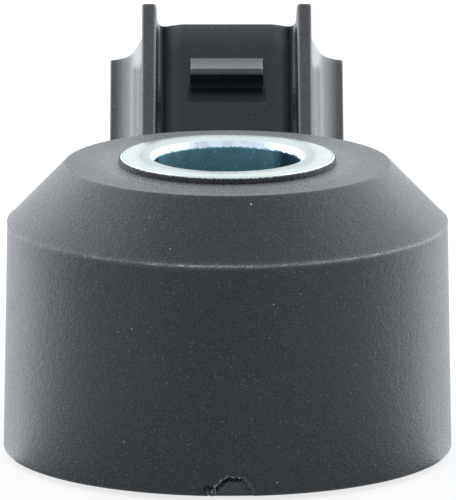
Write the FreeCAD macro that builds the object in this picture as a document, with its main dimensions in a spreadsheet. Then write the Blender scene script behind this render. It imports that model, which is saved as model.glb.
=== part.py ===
import FreeCAD, Part
import math
import os

import Sketcher

# Engine knock sensor: a ring of piezo ceramic clamped on a steel sleeve, moulded into a plastic housing
# whose plug socket leaves the ring at the back and points upwards.
#
# Frame: z = 0 is the mounting face of the sleeve, the bolt axis is Z, and the socket points to +Y and up.
# Lengths are in millimetres and angles in degrees.

DOCUMENT = FreeCAD.newDocument("knock_sensor")

# Sizes that can each be set by themselves.
SIZES = {
    # Pressure sleeve; its walls are measured from the bore outwards
    "bore_diameter": 8.4,
    "bore_chamfer_width": 0.25,
    "bore_chamfer_depth": 0.4,
    "neck_wall": 1.95,
    "thread_wall": 2.8,
    "thread_runout": 0.3,
    "flange_margin": 0.4,
    "flange_thickness": 3.2,
    "flange_edge_bevel": 0.3,
    "anchor_groove_height": 0.7,
    "anchor_groove_width": 0.7,
    "anchor_groove_depth": 0.35,
    "sleeve_proud_above": 0.4,
    "sleeve_proud_below": 0.3,
    # Ring stack on the sleeve
    "ring_width": 2.75,
    "insulator_thickness": 0.3,
    "tube_wall": 0.25,
    "tube_overlap": 0.6,
    "ring_clearance": 0.1,
    "contact_thickness": 0.3,
    "piezo_thickness": 2.4,
    "mass_thickness": 4.2,
    "spring_thickness": 0.7,
    "spring_cone": 0.4,
    "nut_corner_setback": 0.1,
    "nut_thickness": 2.6,
    "nut_bevel_width": 1.0,
    "nut_bevel_depth": 0.5,
    # Contact tails and terminals
    "tail_width": 2.0,
    "tail_overhang": 0.15,
    "pin_pitch": 5.2,
    "pin_thickness": 0.8,
    "pin_height": 1.8,
    "pin_tip_bevel": 0.35,
    "pin_setback": 2.6,
    "pin_root": 1.0,
    "strip_height": 0.9,
    "leg_width": 1.3,
    "leg_inset": 0.55,
    "leg_lift": 0.4,
    # Shunt resistor across the terminals
    "resistor_distance": 3.1,
    "resistor_length": 2.4,
    "resistor_width": 1.6,
    "resistor_thickness": 0.6,
    "cap_wall": 0.1,
    "cap_overlap": 0.5,
    "lead_width": 0.8,
    "lead_thickness": 0.2,
    # Round part of the housing
    "housing_wall": 2.4,
    "cover_thickness": 2.3,
    "shoulder_drop": 3.4,
    "housing_top_diameter": 18.7,
    "draft_angle": 1.1,
    "gate_mark_diameter": 2.5,
    "gate_mark_depth": 0.25,
    # Plug socket
    "socket_tilt": 30.0,
    "socket_reach": 17.6,
    "socket_width": 11.0,
    "socket_height": 6.2,
    "socket_depth": 11.0,
    "socket_corner_radius": 2.6,
    "socket_roof": 2.1,
    "socket_floor": 1.0,
    "socket_side": 1.36,
    "socket_outer_radius": 1.5,
    "socket_burial": 0.5,
    "panel_flat_width": 5.32,
    "channel_depth": 0.13,
    "rib_span": 9.94,
    "rib_width": 0.88,
    "rib_height": 1.62,
    "rib_draft": 0.06,
    "rib_root_radius": 0.3,
    "rib_inner_radius": 0.22,
    "rib_outer_radius": 0.15,
    "haunch_drop": 1.1,
    "haunch_radius": 1.93,
    "haunch_sweep": 59.0,
    "ledge_drop": 2.95,
    "ledge_radius": 0.2,
    # Lock tab on the socket
    "tab_width": 4.3,
    "tab_height": 0.93,
    "tab_ramp_start": 3.3,
    "tab_ramp_end": 5.21,
    "tab_lock_face": 5.72,
    "tab_crest_radius": 0.12,
    "tab_burial": 0.4,
    "lock_recess_end": 7.13,
    "lock_recess_depth": 0.35,
    "lock_recess_margin": 0.06,
}


class Measure:
    """A length or angle that carries both its number and the expression that gives it."""

    def __init__(self, number, text):
        self.number = number
        self.text = text

    def __add__(self, other):
        other = as_measure(other)
        return Measure(self.number + other.number, f"({self.text} + {other.text})")

    def __sub__(self, other):
        other = as_measure(other)
        return Measure(self.number - other.number, f"({self.text} - {other.text})")

    def __mul__(self, other):
        other = as_measure(other)
        return Measure(self.number * other.number, f"({self.text} * {other.text})")

    def __truediv__(self, other):
        other = as_measure(other)
        return Measure(self.number / other.number, f"({self.text} / {other.text})")

    def __neg__(self):
        return Measure(-self.number, f"(-1 * {self.text})")


def as_measure(value):
    """Take a plain number into the sums that Measure does."""
    if isinstance(value, Measure):
        return value
    return Measure(float(value), f"{float(value):.10f}")


def cosine(angle):
    return Measure(math.cos(math.radians(angle.number)), f"cos({angle.text})")


def sine(angle):
    return Measure(math.sin(math.radians(angle.number)), f"sin({angle.text})")


def tangent(angle):
    return Measure(math.tan(math.radians(angle.number)), f"tan({angle.text})")


def square_root(value):
    return Measure(math.sqrt(value.number), f"sqrt({value.text})")


class NamedSheet:
    """A spreadsheet whose named cells can be used in sums as attributes."""

    def __init__(self, label):
        self.label = label
        self.cells = DOCUMENT.addObject("Spreadsheet::Sheet", label)
        self.rows = 0

    def put(self, name, value, content):
        """Write one cell and keep it under its name."""
        self.rows += 1
        self.cells.set(f"A{self.rows}", name)
        self.cells.set(f"B{self.rows}", content)
        self.cells.setAlias(f"B{self.rows}", name)
        setattr(self, name, Measure(value, f"{self.label}.{name}"))


size = NamedSheet("Sizes")
for size_name, size_value in SIZES.items():
    size.put(size_name, size_value, str(size_value))

place = NamedSheet("Places")


def set_place(name, measure):
    """Keep a place or size that follows from the driving ones in the second sheet."""
    place.put(name, measure.number, f"={measure.text}")


# Radii
set_place("bore_radius", size.bore_diameter / 2)
set_place("neck_radius", place.bore_radius + size.neck_wall)
set_place("thread_radius", place.bore_radius + size.thread_wall)
set_place("tube_radius", place.thread_radius + size.tube_wall)
set_place("ring_inner_radius", place.tube_radius + size.ring_clearance)
set_place("ring_outer_radius", place.ring_inner_radius + size.ring_width)
set_place("flange_radius", place.ring_outer_radius + size.flange_margin)
set_place("nut_corner_radius", place.flange_radius - size.nut_corner_setback)
set_place("core_radius", (place.tube_radius + place.ring_outer_radius) / 2)
set_place("base_radius", place.flange_radius + size.housing_wall)
set_place("housing_top_radius", size.housing_top_diameter / 2)

# Heights of the stack, from the mounting face upwards
set_place("lower_contact_bottom", size.flange_thickness + size.insulator_thickness)
set_place("piezo_bottom", place.lower_contact_bottom + size.contact_thickness)
set_place("upper_contact_bottom", place.piezo_bottom + size.piezo_thickness)
set_place("upper_insulator_bottom", place.upper_contact_bottom + size.contact_thickness)
set_place("mass_bottom", place.upper_insulator_bottom + size.insulator_thickness)
set_place("spring_bottom", place.mass_bottom + size.mass_thickness)
set_place("nut_bottom", place.spring_bottom + size.spring_thickness + size.spring_cone)
set_place("nut_top", place.nut_bottom + size.nut_thickness)
set_place("thread_top", place.nut_top + size.thread_runout)
set_place("housing_bottom", size.sleeve_proud_below)
set_place("housing_top", place.nut_top + size.cover_thickness)
set_place("sleeve_top", place.housing_top + size.sleeve_proud_above)
set_place("shoulder_height", place.housing_top - size.shoulder_drop)
set_place(
    "shoulder_radius",
    place.base_radius - (place.shoulder_height - place.housing_bottom) * tangent(size.draft_angle),
)

# The pin axis starts at the terminal legs and runs out to the middle of the socket's mouth
set_place("leg_reach", place.base_radius - size.leg_inset)
set_place("leg_height", place.upper_insulator_bottom + size.leg_lift)
set_place("mouth_reach", place.leg_reach + size.socket_reach * cosine(size.socket_tilt))
set_place("mouth_height", place.leg_height + size.socket_reach * sine(size.socket_tilt))

# Levels of the socket's section, measured square to the pin axis
set_place("socket_half_width", size.socket_width / 2 + size.socket_side)
set_place("roof_level", size.socket_height / 2 + size.socket_roof)
set_place("crest_level", place.roof_level + size.rib_height)
set_place("floor_level", -(size.socket_height / 2 + size.socket_floor))

# The socket is carried back until its lowest corners lie inside the round wall
set_place(
    "socket_length",
    (
        place.mouth_reach
        - place.floor_level * sine(size.socket_tilt)
        - square_root(
            place.base_radius * place.base_radius - place.socket_half_width * place.socket_half_width
        )
    )
    / cosine(size.socket_tilt)
    + size.socket_burial,
)
DOCUMENT.recompute()


class Corner:
    """A corner of an outline, with the radius of the side that runs on from it if that side is round."""

    def __init__(self, across, up, radius=None, clockwise=False):
        self.across = as_measure(across)
        self.up = as_measure(up)
        self.radius = radius
        self.clockwise = clockwise

    def point(self):
        return FreeCAD.Vector(self.across.number, self.up.number, 0)


def make_body(label):
    body = DOCUMENT.addObject("PartDesign::Body", label)
    body.Label = label
    return body


def add_sketch(body, name, plane):
    """Start a sketch on one of the body's origin planes."""
    sketch = body.newObject("Sketcher::SketchObject", name)
    for feature in body.Origin.OriginFeatures:
        if feature.Role == plane:
            sketch.AttachmentSupport = [(feature, "")]
    sketch.MapMode = "FlatFace"
    return sketch


def shift_sketch(sketch, shifts):
    """Bind a sketch's offset from its plane, given by axis name."""
    for axis, measure in shifts.items():
        sketch.setExpression(f"AttachmentOffset.Base.{axis}", measure.text)


def turn_sketch(sketch, axis, angle):
    """Turn a sketch about an axis of its plane."""
    sketch.AttachmentOffset = FreeCAD.Placement(
        FreeCAD.Vector(0, 0, 0), FreeCAD.Rotation(axis, angle.number)
    )
    sketch.setExpression("AttachmentOffset.Rotation.Angle", angle.text)


def mouth_sketch(body, name):
    """Start a sketch in the socket's mouth: across is X, up is square to the pin axis."""
    sketch = add_sketch(body, name, "XZ_Plane")
    turn_sketch(sketch, FreeCAD.Vector(1, 0, 0), size.socket_tilt)
    shift_sketch(sketch, {"y": place.mouth_height, "z": -place.mouth_reach})
    return sketch


def side_sketch(body, name):
    """Start a sketch on the mirror plane: across runs out along the pin axis, with zero at the mouth."""
    sketch = add_sketch(body, name, "YZ_Plane")
    turn_sketch(sketch, FreeCAD.Vector(0, 0, 1), size.socket_tilt)
    shift_sketch(sketch, {"x": place.mouth_reach, "y": place.mouth_height})
    return sketch


def bind_distance(sketch, kind, target, measure):
    """Tie a point to a distance from the sketch's origin."""
    index = sketch.addConstraint(Sketcher.Constraint(kind, -1, 1, *target, measure.number))
    sketch.setExpression(f"Constraints[{index}]", measure.text)


def round_side(start, end):
    """Work out the arc between two corners that turns left, or right if it is clockwise."""
    first = start.point()
    last = end.point()
    chord = last - first
    half = chord.Length / 2
    sagitta = start.radius.number - math.sqrt(max(start.radius.number**2 - half**2, 0.0))
    outward = FreeCAD.Vector(chord.y, -chord.x, 0).normalize()
    if start.clockwise:
        outward = outward.negative()
    return Part.Arc(first, (first + last) / 2 + outward * sagitta, last)


def draw_outline(sketch, corners):
    """Draw a closed outline and bind each corner and radius to its expression."""
    ends = []
    for number, corner in enumerate(corners):
        following = corners[(number + 1) % len(corners)]
        if corner.radius is None:
            index = sketch.addGeometry(Part.LineSegment(corner.point(), following.point()))
        else:
            index = sketch.addGeometry(round_side(corner, following))
            limit = sketch.addConstraint(Sketcher.Constraint("Radius", index, corner.radius.number))
            sketch.setExpression(f"Constraints[{limit}]", corner.radius.text)
        forward = sketch.getPoint(index, 1).distanceToPoint(corner.point()) < 1e-6
        ends.append(((index, 1), (index, 2)) if forward else ((index, 2), (index, 1)))
    for number, corner in enumerate(corners):
        start = ends[number][0]
        bind_distance(sketch, "DistanceX", start, corner.across)
        bind_distance(sketch, "DistanceY", start, corner.up)
        sketch.addConstraint(Sketcher.Constraint("Coincident", *ends[number - 1][1], *start))


def draw_circle(sketch, across, up, radius):
    """Draw a circle and bind its centre and radius."""
    centre = Corner(across, up)
    index = sketch.addGeometry(Part.Circle(centre.point(), FreeCAD.Vector(0, 0, 1), radius.number))
    bind_distance(sketch, "DistanceX", (index, 3), centre.across)
    bind_distance(sketch, "DistanceY", (index, 3), centre.up)
    limit = sketch.addConstraint(Sketcher.Constraint("Radius", index, radius.number))
    sketch.setExpression(f"Constraints[{limit}]", radius.text)


def mirror_outline(corners):
    """Carry an outline that runs down the right side on up the left side."""
    mirrored = []
    for number in range(len(corners) - 1, -1, -1):
        before = corners[number - 1]
        radius = before.radius if number > 0 else None
        mirrored.append(Corner(-corners[number].across, corners[number].up, radius, before.clockwise))
    return corners + mirrored


def add_turned(body, name, corners, kind="Revolution"):
    """Turn an outline of radius and height about the bolt axis, as material or as a groove."""
    sketch = add_sketch(body, f"{name}_outline", "XZ_Plane")
    draw_outline(sketch, corners)
    feature = body.newObject(f"PartDesign::{kind}", name)
    feature.Profile = sketch
    feature.ReferenceAxis = (sketch, ["V_Axis"])
    feature.Angle = 360
    return feature


def add_prism(body, name, sketch, length, kind="Pad", reverse=False, symmetric=False):
    """Carry a sketch along its normal, as material or as a pocket."""
    feature = body.newObject(f"PartDesign::{kind}", name)
    feature.Profile = sketch
    feature.Type = "Length"
    feature.Reversed = reverse
    if symmetric:
        feature.SideType = "Symmetric"
    feature.setExpression("Length", length.text)
    return feature


def along_pin_axis(distance, level):
    """Give the Y and Z of a point that lies a distance in from the mouth and a level off the pin axis."""
    reach = place.mouth_reach - cosine(size.socket_tilt) * distance - sine(size.socket_tilt) * level
    height = place.mouth_height - sine(size.socket_tilt) * distance + cosine(size.socket_tilt) * level
    return reach, height


def height_on_line(reach, level):
    """Give the Z at which a line parallel to the pin axis passes a given Y."""
    rise = (reach - place.leg_reach) * tangent(size.socket_tilt)
    return place.leg_height + rise + as_measure(level) / cosine(size.socket_tilt)


def make_pressure_sleeve():
    """The steel bush that the bolt clamps: flange, thread for the nut, and grooved neck."""
    body = make_body("pressure_sleeve")
    chamfer_radius = place.bore_radius + size.bore_chamfer_width
    bevel = size.flange_edge_bevel
    corners = [
        Corner(chamfer_radius, 0),
        Corner(place.flange_radius - bevel, 0),
        Corner(place.flange_radius, bevel),
        Corner(place.flange_radius, size.flange_thickness),
        Corner(place.thread_radius, size.flange_thickness),
        Corner(place.thread_radius, place.thread_top),
        Corner(place.neck_radius, place.thread_top),
        Corner(place.neck_radius, place.sleeve_top),
        Corner(chamfer_radius, place.sleeve_top),
        Corner(place.bore_radius, place.sleeve_top - size.bore_chamfer_depth),
        Corner(place.bore_radius, size.bore_chamfer_depth),
    ]
    add_turned(body, "sleeve_turning", corners)
    root = place.neck_radius - size.anchor_groove_depth
    outside = place.neck_radius + size.anchor_groove_depth
    lower = place.thread_top + size.anchor_groove_height
    upper = lower + size.anchor_groove_width
    groove_corners = [
        Corner(root, lower),
        Corner(outside, lower),
        Corner(outside, upper),
        Corner(root, upper),
    ]
    add_turned(body, "anchor_groove", groove_corners, "Groove")
    return body


def make_ring(label, inner, outer, bottom, thickness):
    """A flat ring on the sleeve."""
    body = make_body(label)
    top = bottom + thickness
    corners = [Corner(inner, bottom), Corner(outer, bottom), Corner(outer, top), Corner(inner, top)]
    add_turned(body, f"{label}_turning", corners)
    return body


def make_insulator(label, bottom):
    return make_ring(
        label, place.ring_inner_radius, place.ring_outer_radius, bottom, size.insulator_thickness
    )


def make_insulating_tube():
    """The thin tube that keeps the stack off the sleeve, from the flange into the disc spring."""
    height = place.spring_bottom + size.tube_overlap - size.flange_thickness
    return make_ring(
        "insulating_tube", place.thread_radius, place.tube_radius, size.flange_thickness, height
    )


def make_contact_ring(label, bottom, side):
    """A stamped ring that touches the ceramic, with a tail that runs out to a terminal's leg."""
    body = make_ring(
        label, place.ring_inner_radius, place.ring_outer_radius, bottom, size.contact_thickness
    )
    centre = size.pin_pitch * (side / 2)
    half = size.tail_width / 2
    inner = place.core_radius
    outer = place.leg_reach + size.leg_width / 2 + size.tail_overhang
    sketch = add_sketch(body, f"{label}_tail_outline", "XY_Plane")
    shift_sketch(sketch, {"z": bottom})
    corners = [
        Corner(centre - half, inner),
        Corner(centre + half, inner),
        Corner(centre + half, outer),
        Corner(centre - half, outer),
    ]
    draw_outline(sketch, corners)
    add_prism(body, f"{label}_tail", sketch, size.contact_thickness)
    return body


def make_disc_spring():
    """The coned spring washer: its outer edge sits on the mass and its inner edge under the nut."""
    body = make_body("disc_spring")
    outer = place.ring_outer_radius
    lifted = place.spring_bottom + size.spring_cone
    corners = [
        Corner(place.ring_inner_radius, lifted),
        Corner(outer, place.spring_bottom),
        Corner(outer, place.spring_bottom + size.spring_thickness),
        Corner(place.ring_inner_radius, lifted + size.spring_thickness),
    ]
    add_turned(body, "spring_turning", corners)
    return body


def make_clamp_nut():
    """The hexagon nut that preloads the stack, with its upper corners bevelled."""
    body = make_body("clamp_nut")
    corner_radius = place.nut_corner_radius
    sketch = add_sketch(body, "nut_outline", "XY_Plane")
    shift_sketch(sketch, {"z": place.nut_bottom})
    corners = []
    for number in range(6):
        angle = math.radians(60 * number + 30)
        corners.append(Corner(corner_radius * math.cos(angle), corner_radius * math.sin(angle)))
    draw_outline(sketch, corners)
    draw_circle(sketch, 0, 0, place.thread_radius)
    add_prism(body, "nut_blank", sketch, size.nut_thickness)
    outside = corner_radius + size.nut_bevel_width
    slope = size.nut_bevel_depth / size.nut_bevel_width
    bevel_corners = [
        Corner(corner_radius - size.nut_bevel_width, place.nut_top),
        Corner(outside, place.nut_top - slope * (size.nut_bevel_width * 2)),
        Corner(outside, place.nut_top),
    ]
    add_turned(body, "nut_bevel", bevel_corners, "Groove")
    return body


def make_terminal(label, side, tail_top):
    """A stamped terminal: blade in the socket, strip through the neck, leg down to its contact's tail."""
    body = make_body(label)
    blade = size.pin_height / 2
    strip = size.strip_height / 2
    tip = size.pin_setback
    shoulder = size.socket_depth + size.pin_root
    bevel = size.pin_tip_bevel
    inner = place.leg_reach - size.leg_width / 2
    outer = place.leg_reach + size.leg_width / 2
    corners = [
        Corner(*along_pin_axis(tip, blade - bevel)),
        Corner(*along_pin_axis(tip, bevel - blade)),
        Corner(*along_pin_axis(tip + bevel, -blade)),
        Corner(*along_pin_axis(shoulder, -blade)),
        Corner(*along_pin_axis(shoulder, -strip)),
        Corner(outer, height_on_line(outer, -strip)),
        Corner(outer, tail_top),
        Corner(inner, tail_top),
        Corner(inner, height_on_line(inner, strip)),
        Corner(*along_pin_axis(shoulder, strip)),
        Corner(*along_pin_axis(shoulder, blade)),
        Corner(*along_pin_axis(tip + bevel, blade)),
    ]
    sketch = add_sketch(body, f"{label}_outline", "YZ_Plane")
    shift_sketch(sketch, {"z": size.pin_pitch * (side / 2)})
    draw_outline(sketch, corners)
    add_prism(body, f"{label}_stamping", sketch, size.pin_thickness, symmetric=True)
    return body


def bar_across(body, name, offset, width, thickness, length, kind="Pad", reverse=False, symmetric=False):
    """A rectangular bar that runs along X through the resistor's place on the pin axis.

    The offset is where it starts, the width lies along the pin axis, and a Pocket cuts it away instead.
    """
    middle = size.socket_reach - size.resistor_distance
    sketch = add_sketch(body, f"{name}_outline", "YZ_Plane")
    shift_sketch(sketch, {"z": offset})
    corners = [
        Corner(*along_pin_axis(middle - width / 2, thickness / 2)),
        Corner(*along_pin_axis(middle - width / 2, -(thickness / 2))),
        Corner(*along_pin_axis(middle + width / 2, -(thickness / 2))),
        Corner(*along_pin_axis(middle + width / 2, thickness / 2)),
    ]
    draw_outline(sketch, corners)
    return add_prism(body, name, sketch, length, kind, reverse, symmetric)


def make_shunt_resistor():
    """The ceramic chip of the resistor between the terminals."""
    body = make_body("shunt_resistor")
    width = size.resistor_width
    thickness = size.resistor_thickness
    bar_across(body, "chip", as_measure(0), width, thickness, size.resistor_length, symmetric=True)
    return body


def make_resistor_cap(label, side):
    """A metal cap over one end of the chip."""
    body = make_body(label)
    open_end = size.resistor_length / 2 - size.cap_overlap
    width = size.resistor_width
    thickness = size.resistor_thickness
    wall = size.cap_wall * 2
    length = size.cap_overlap + size.cap_wall
    start = open_end * side
    bar_across(body, f"{label}_shell", start, width + wall, thickness + wall, length, reverse=side < 0)
    bar_across(body, f"{label}_seat", start, width, thickness, size.cap_overlap, "Pocket", side > 0)
    return body


def make_resistor_lead(label, side):
    """A flat lead from the cap to the terminal's inner face."""
    body = make_body(label)
    start = size.resistor_length / 2 + size.cap_wall
    length = size.pin_pitch / 2 - size.pin_thickness / 2 - start
    bar_across(
        body, f"{label}_strip", start * side, size.lead_width, size.lead_thickness, length, reverse=side < 0
    )
    return body


def socket_section():
    """The socket's outside, seen from its mouth: panel, guard ribs, concave haunches, ledges and box."""
    channel = place.roof_level - size.channel_depth
    rib_outer = size.rib_span / 2
    rib_inner = rib_outer - size.rib_width
    rib_lean = rib_inner + size.rib_draft
    haunch_top = place.roof_level - size.haunch_drop
    haunch_across = rib_outer + size.haunch_radius - size.haunch_radius * cosine(size.haunch_sweep)
    haunch_foot = haunch_top - size.haunch_radius * sine(size.haunch_sweep)
    ledge = place.roof_level - size.ledge_drop
    side = place.socket_half_width
    right = [
        Corner(size.panel_flat_width / 2, place.roof_level),
        Corner(rib_inner - size.rib_root_radius, channel, size.rib_root_radius),
        Corner(rib_inner, channel + size.rib_root_radius),
        Corner(rib_lean, place.crest_level - size.rib_inner_radius, size.rib_inner_radius, True),
        Corner(rib_lean + size.rib_inner_radius, place.crest_level),
        Corner(rib_outer - size.rib_outer_radius, place.crest_level, size.rib_outer_radius, True),
        Corner(rib_outer, place.crest_level - size.rib_outer_radius),
        Corner(rib_outer, haunch_top, size.haunch_radius),
        Corner(haunch_across, haunch_foot),
        Corner(side - size.ledge_radius, ledge, size.ledge_radius, True),
        Corner(side, ledge - size.ledge_radius),
        Corner(side, place.floor_level + size.socket_outer_radius, size.socket_outer_radius, True),
        Corner(side - size.socket_outer_radius, place.floor_level),
    ]
    return mirror_outline(right)


def rounded_slot(width, height, radius):
    """A rectangle with round corners about the pin axis, drawn clockwise from the top right."""
    across = width / 2
    up = height / 2
    right = [
        Corner(across - radius, up, radius, True),
        Corner(across, up - radius),
        Corner(across, radius - up, radius, True),
        Corner(across - radius, -up),
    ]
    return mirror_outline(right)


def add_barrel(body):
    """The round part: drafted wall, parting edge, cone and flat top."""
    corners = [
        Corner(0, place.housing_bottom),
        Corner(place.base_radius, place.housing_bottom),
        Corner(place.shoulder_radius, place.shoulder_height),
        Corner(place.housing_top_radius, place.housing_top),
        Corner(0, place.housing_top),
    ]
    add_turned(body, "barrel", corners)


def add_socket(body):
    """The slanted plug socket and its cavity."""
    outside = mouth_sketch(body, "socket_outline")
    draw_outline(outside, socket_section())
    add_prism(body, "socket_outside", outside, place.socket_length)
    inside = mouth_sketch(body, "cavity_outline")
    draw_outline(inside, rounded_slot(size.socket_width, size.socket_height, size.socket_corner_radius))
    add_prism(body, "cavity", inside, size.socket_depth, "Pocket", reverse=True)


def add_lock_tab(body):
    """The ramp that the plug's latch rides over, and the shallow recess behind its lock face."""
    crest = place.roof_level + size.tab_height
    buried = place.roof_level - size.tab_burial
    face = -size.tab_lock_face
    tab = side_sketch(body, "tab_outline")
    corners = [
        Corner(-size.tab_ramp_start, place.roof_level),
        Corner(-size.tab_ramp_end, crest),
        Corner(face + size.tab_crest_radius, crest, size.tab_crest_radius),
        Corner(face, crest - size.tab_crest_radius),
        Corner(face, buried),
        Corner(-size.tab_ramp_start, buried),
    ]
    draw_outline(tab, corners)
    add_prism(body, "lock_tab", tab, size.tab_width, symmetric=True)
    recess = side_sketch(body, "recess_outline")
    recess_corners = [
        Corner(face, place.roof_level),
        Corner(face, place.roof_level - size.lock_recess_depth),
        Corner(-size.lock_recess_end, place.roof_level),
    ]
    draw_outline(recess, recess_corners)
    width = size.tab_width + size.lock_recess_margin * 2
    add_prism(body, "lock_recess", recess, width, "Pocket", symmetric=True)


def add_gate_mark(body):
    """The half-round mark that the mould's gate leaves at the front of the base."""
    sketch = add_sketch(body, "gate_outline", "XZ_Plane")
    shift_sketch(sketch, {"z": place.base_radius})
    draw_circle(sketch, 0, place.housing_bottom, size.gate_mark_diameter / 2)
    add_prism(body, "gate_mark", sketch, size.gate_mark_depth, "Pocket")


def add_core(body):
    """Open the middle, up to radii that lie inside the rings, the nut and the sleeve's neck."""
    nut_flat_radius = place.nut_corner_radius * math.cos(math.radians(30))
    nut_core = (place.thread_radius + nut_flat_radius) / 2
    neck_core = (place.bore_radius + place.neck_radius) / 2
    above = place.sleeve_top
    corners = [
        Corner(0, 0),
        Corner(place.core_radius, 0),
        Corner(place.core_radius, place.spring_bottom),
        Corner(place.ring_outer_radius, place.spring_bottom),
        Corner(place.ring_outer_radius, place.nut_bottom),
        Corner(nut_core, place.nut_bottom),
        Corner(nut_core, place.nut_top),
        Corner(neck_core, place.nut_top),
        Corner(neck_core, above),
        Corner(0, above),
    ]
    add_turned(body, "core_opening", corners, "Groove")


def make_moulded_housing(inserts):
    """The plastic body, moulded round everything that it holds."""
    blank = make_body("housing_blank")
    add_barrel(blank)
    add_socket(blank)
    add_lock_tab(blank)
    add_gate_mark(blank)
    add_core(blank)
    held = DOCUMENT.addObject("Part::MultiFuse", "held_pieces")
    held.Shapes = inserts
    housing = DOCUMENT.addObject("Part::Cut", "moulded_housing")
    housing.Label = "moulded_housing"
    housing.Base = blank
    housing.Tool = held
    housing.Refine = True
    return housing


def make_parts():
    """Make every piece, the housing last because it follows the others."""
    inner = [
        make_pressure_sleeve(),
        make_insulator("lower_insulating_washer", size.flange_thickness),
        make_insulating_tube(),
        make_contact_ring("lower_contact_ring", place.lower_contact_bottom, -1),
        make_ring(
            "piezo_ring",
            place.ring_inner_radius,
            place.ring_outer_radius,
            place.piezo_bottom,
            size.piezo_thickness,
        ),
        make_contact_ring("upper_contact_ring", place.upper_contact_bottom, 1),
        make_insulator("upper_insulating_washer", place.upper_insulator_bottom),
        make_ring(
            "seismic_mass",
            place.ring_inner_radius,
            place.ring_outer_radius,
            place.mass_bottom,
            size.mass_thickness,
        ),
        make_disc_spring(),
        make_clamp_nut(),
        make_terminal("ground_terminal", -1, place.piezo_bottom),
        make_terminal("signal_terminal", 1, place.upper_insulator_bottom),
        make_shunt_resistor(),
        make_resistor_cap("resistor_cap_left", -1),
        make_resistor_cap("resistor_cap_right", 1),
        make_resistor_lead("resistor_lead_left", -1),
        make_resistor_lead("resistor_lead_right", 1),
    ]
    return [make_moulded_housing(inner)] + inner


def check_document(parts):
    """Stop if any object failed or any part's shape is missing, broken or in pieces."""
    for item in DOCUMENT.Objects:
        if "Invalid" in item.State or "Error" in item.State:
            raise RuntimeError(f"{item.Label} failed: {item.State}")
    for part in parts:
        shape = part.Shape
        if shape.isNull() or not shape.isValid():
            raise RuntimeError(f"{part.Label} has no valid shape")
        if len(shape.Solids) != 1:
            raise RuntimeError(f"{part.Label} has {len(shape.Solids)} solids")


def write_parts(parts):
    """Write one file for each part."""
    os.makedirs("parts", exist_ok=True)
    for part in parts:
        part.Shape.exportStep(f"parts/{part.Label}.step")
        print(f"{part.Label}: {part.Shape.Volume:.2f} mm3")


all_parts = make_parts()
DOCUMENT.recompute()
check_document(all_parts)
write_parts(all_parts)
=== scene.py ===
"""Looks of a ring-shaped engine knock sensor.

A black moulded housing sits round a plated steel bush, with a slanted plug socket at the back. Sizes are in
millimetres until a mesh is made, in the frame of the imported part: the bolt axis is Z, the mounting face is at
zero height, and the socket points to +Y and up. Sizes in materials are in metres.
"""

import logging
import math
from dataclasses import dataclass, field
from enum import Enum
from typing import Callable, Sequence

import bmesh
import bpy
import numpy as np
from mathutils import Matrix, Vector
from mathutils.geometry import tessellate_polygon

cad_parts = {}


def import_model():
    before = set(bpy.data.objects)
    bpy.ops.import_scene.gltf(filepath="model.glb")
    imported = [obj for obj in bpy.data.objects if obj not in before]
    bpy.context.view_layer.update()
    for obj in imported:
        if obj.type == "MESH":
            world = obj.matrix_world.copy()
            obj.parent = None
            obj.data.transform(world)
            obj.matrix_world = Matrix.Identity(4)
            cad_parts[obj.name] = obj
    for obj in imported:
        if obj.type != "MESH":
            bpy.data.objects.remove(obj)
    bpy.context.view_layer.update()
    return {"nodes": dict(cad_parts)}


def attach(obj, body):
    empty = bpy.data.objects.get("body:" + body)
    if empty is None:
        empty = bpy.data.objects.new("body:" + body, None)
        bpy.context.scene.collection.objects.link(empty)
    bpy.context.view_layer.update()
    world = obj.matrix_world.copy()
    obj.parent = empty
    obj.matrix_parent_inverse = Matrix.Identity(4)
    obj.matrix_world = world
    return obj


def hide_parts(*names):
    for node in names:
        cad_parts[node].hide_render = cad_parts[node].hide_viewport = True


LOG = logging.getLogger("knock_sensor")
MM = 0.001
BODY = "root"
TURN = 2 * math.pi
FRONT = -math.pi / 2
Point = tuple[float, float]
Colour = tuple[float, float, float]
Piece = bpy.types.Object
Tree = bpy.types.NodeTree


class Slot(Enum):
    """Material slots of the record that the pieces take their finish from."""

    PLASTIC = "housing_plastic"
    SLEEVE = "plated_steel"
    INSULATOR = "insulating_film"
    BRASS = "contact_brass"
    CERAMIC = "piezo_ceramic"
    MASS = "mass_steel"
    SPRING = "spring_steel"
    NUT = "nut_steel"
    TERMINAL = "tinned_terminal"
    CHIP = "resistor_rod"
    CAP = "resistor_cap"
    LEAD = "tinned_wire"


class Mark(Enum):
    """Numbers stored on the housing's points for its plastic."""

    # Real wear, with painted highlights on the top face, the haunches and the lock tab.
    WORN = "worn_edge"
    FINE = "fine_face"
    # Raised gloss on the tab and haunches; negative values are painted shade in the panel's recesses.
    GLOSS = "gloss_shift"


# ---- Meshes ----


def clean(mesh: bpy.types.Mesh, distance: float) -> None:
    """Merge the points of a mesh that lie within a distance in metres, and turn its faces outwards."""
    work = bmesh.new()
    work.from_mesh(mesh)
    bmesh.ops.remove_doubles(work, verts=work.verts, dist=distance)
    bmesh.ops.recalc_face_normals(work, faces=work.faces)
    work.to_mesh(mesh)
    work.free()


def linked(name: str, data: bpy.types.ID) -> Piece:
    """Put a new object into the scene."""
    made = bpy.data.objects.new(name, data)
    bpy.context.scene.collection.objects.link(made)
    return made


def new_object(name: str, points: np.ndarray, faces: Sequence[Sequence[int]]) -> Piece:
    """Make a closed mesh object at the origin.

    Args:
        name: Name of the object and its mesh.
        points: Array of N by 3 places in millimetres.
        faces: Lists of point numbers.

    Returns:
        The linked object.
    """
    mesh = bpy.data.meshes.new(name)
    mesh.from_pydata([tuple(p) for p in np.asarray(points, float) * MM], [], [tuple(f) for f in faces])
    clean(mesh, 1e-8)
    return linked(name, mesh)


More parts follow.
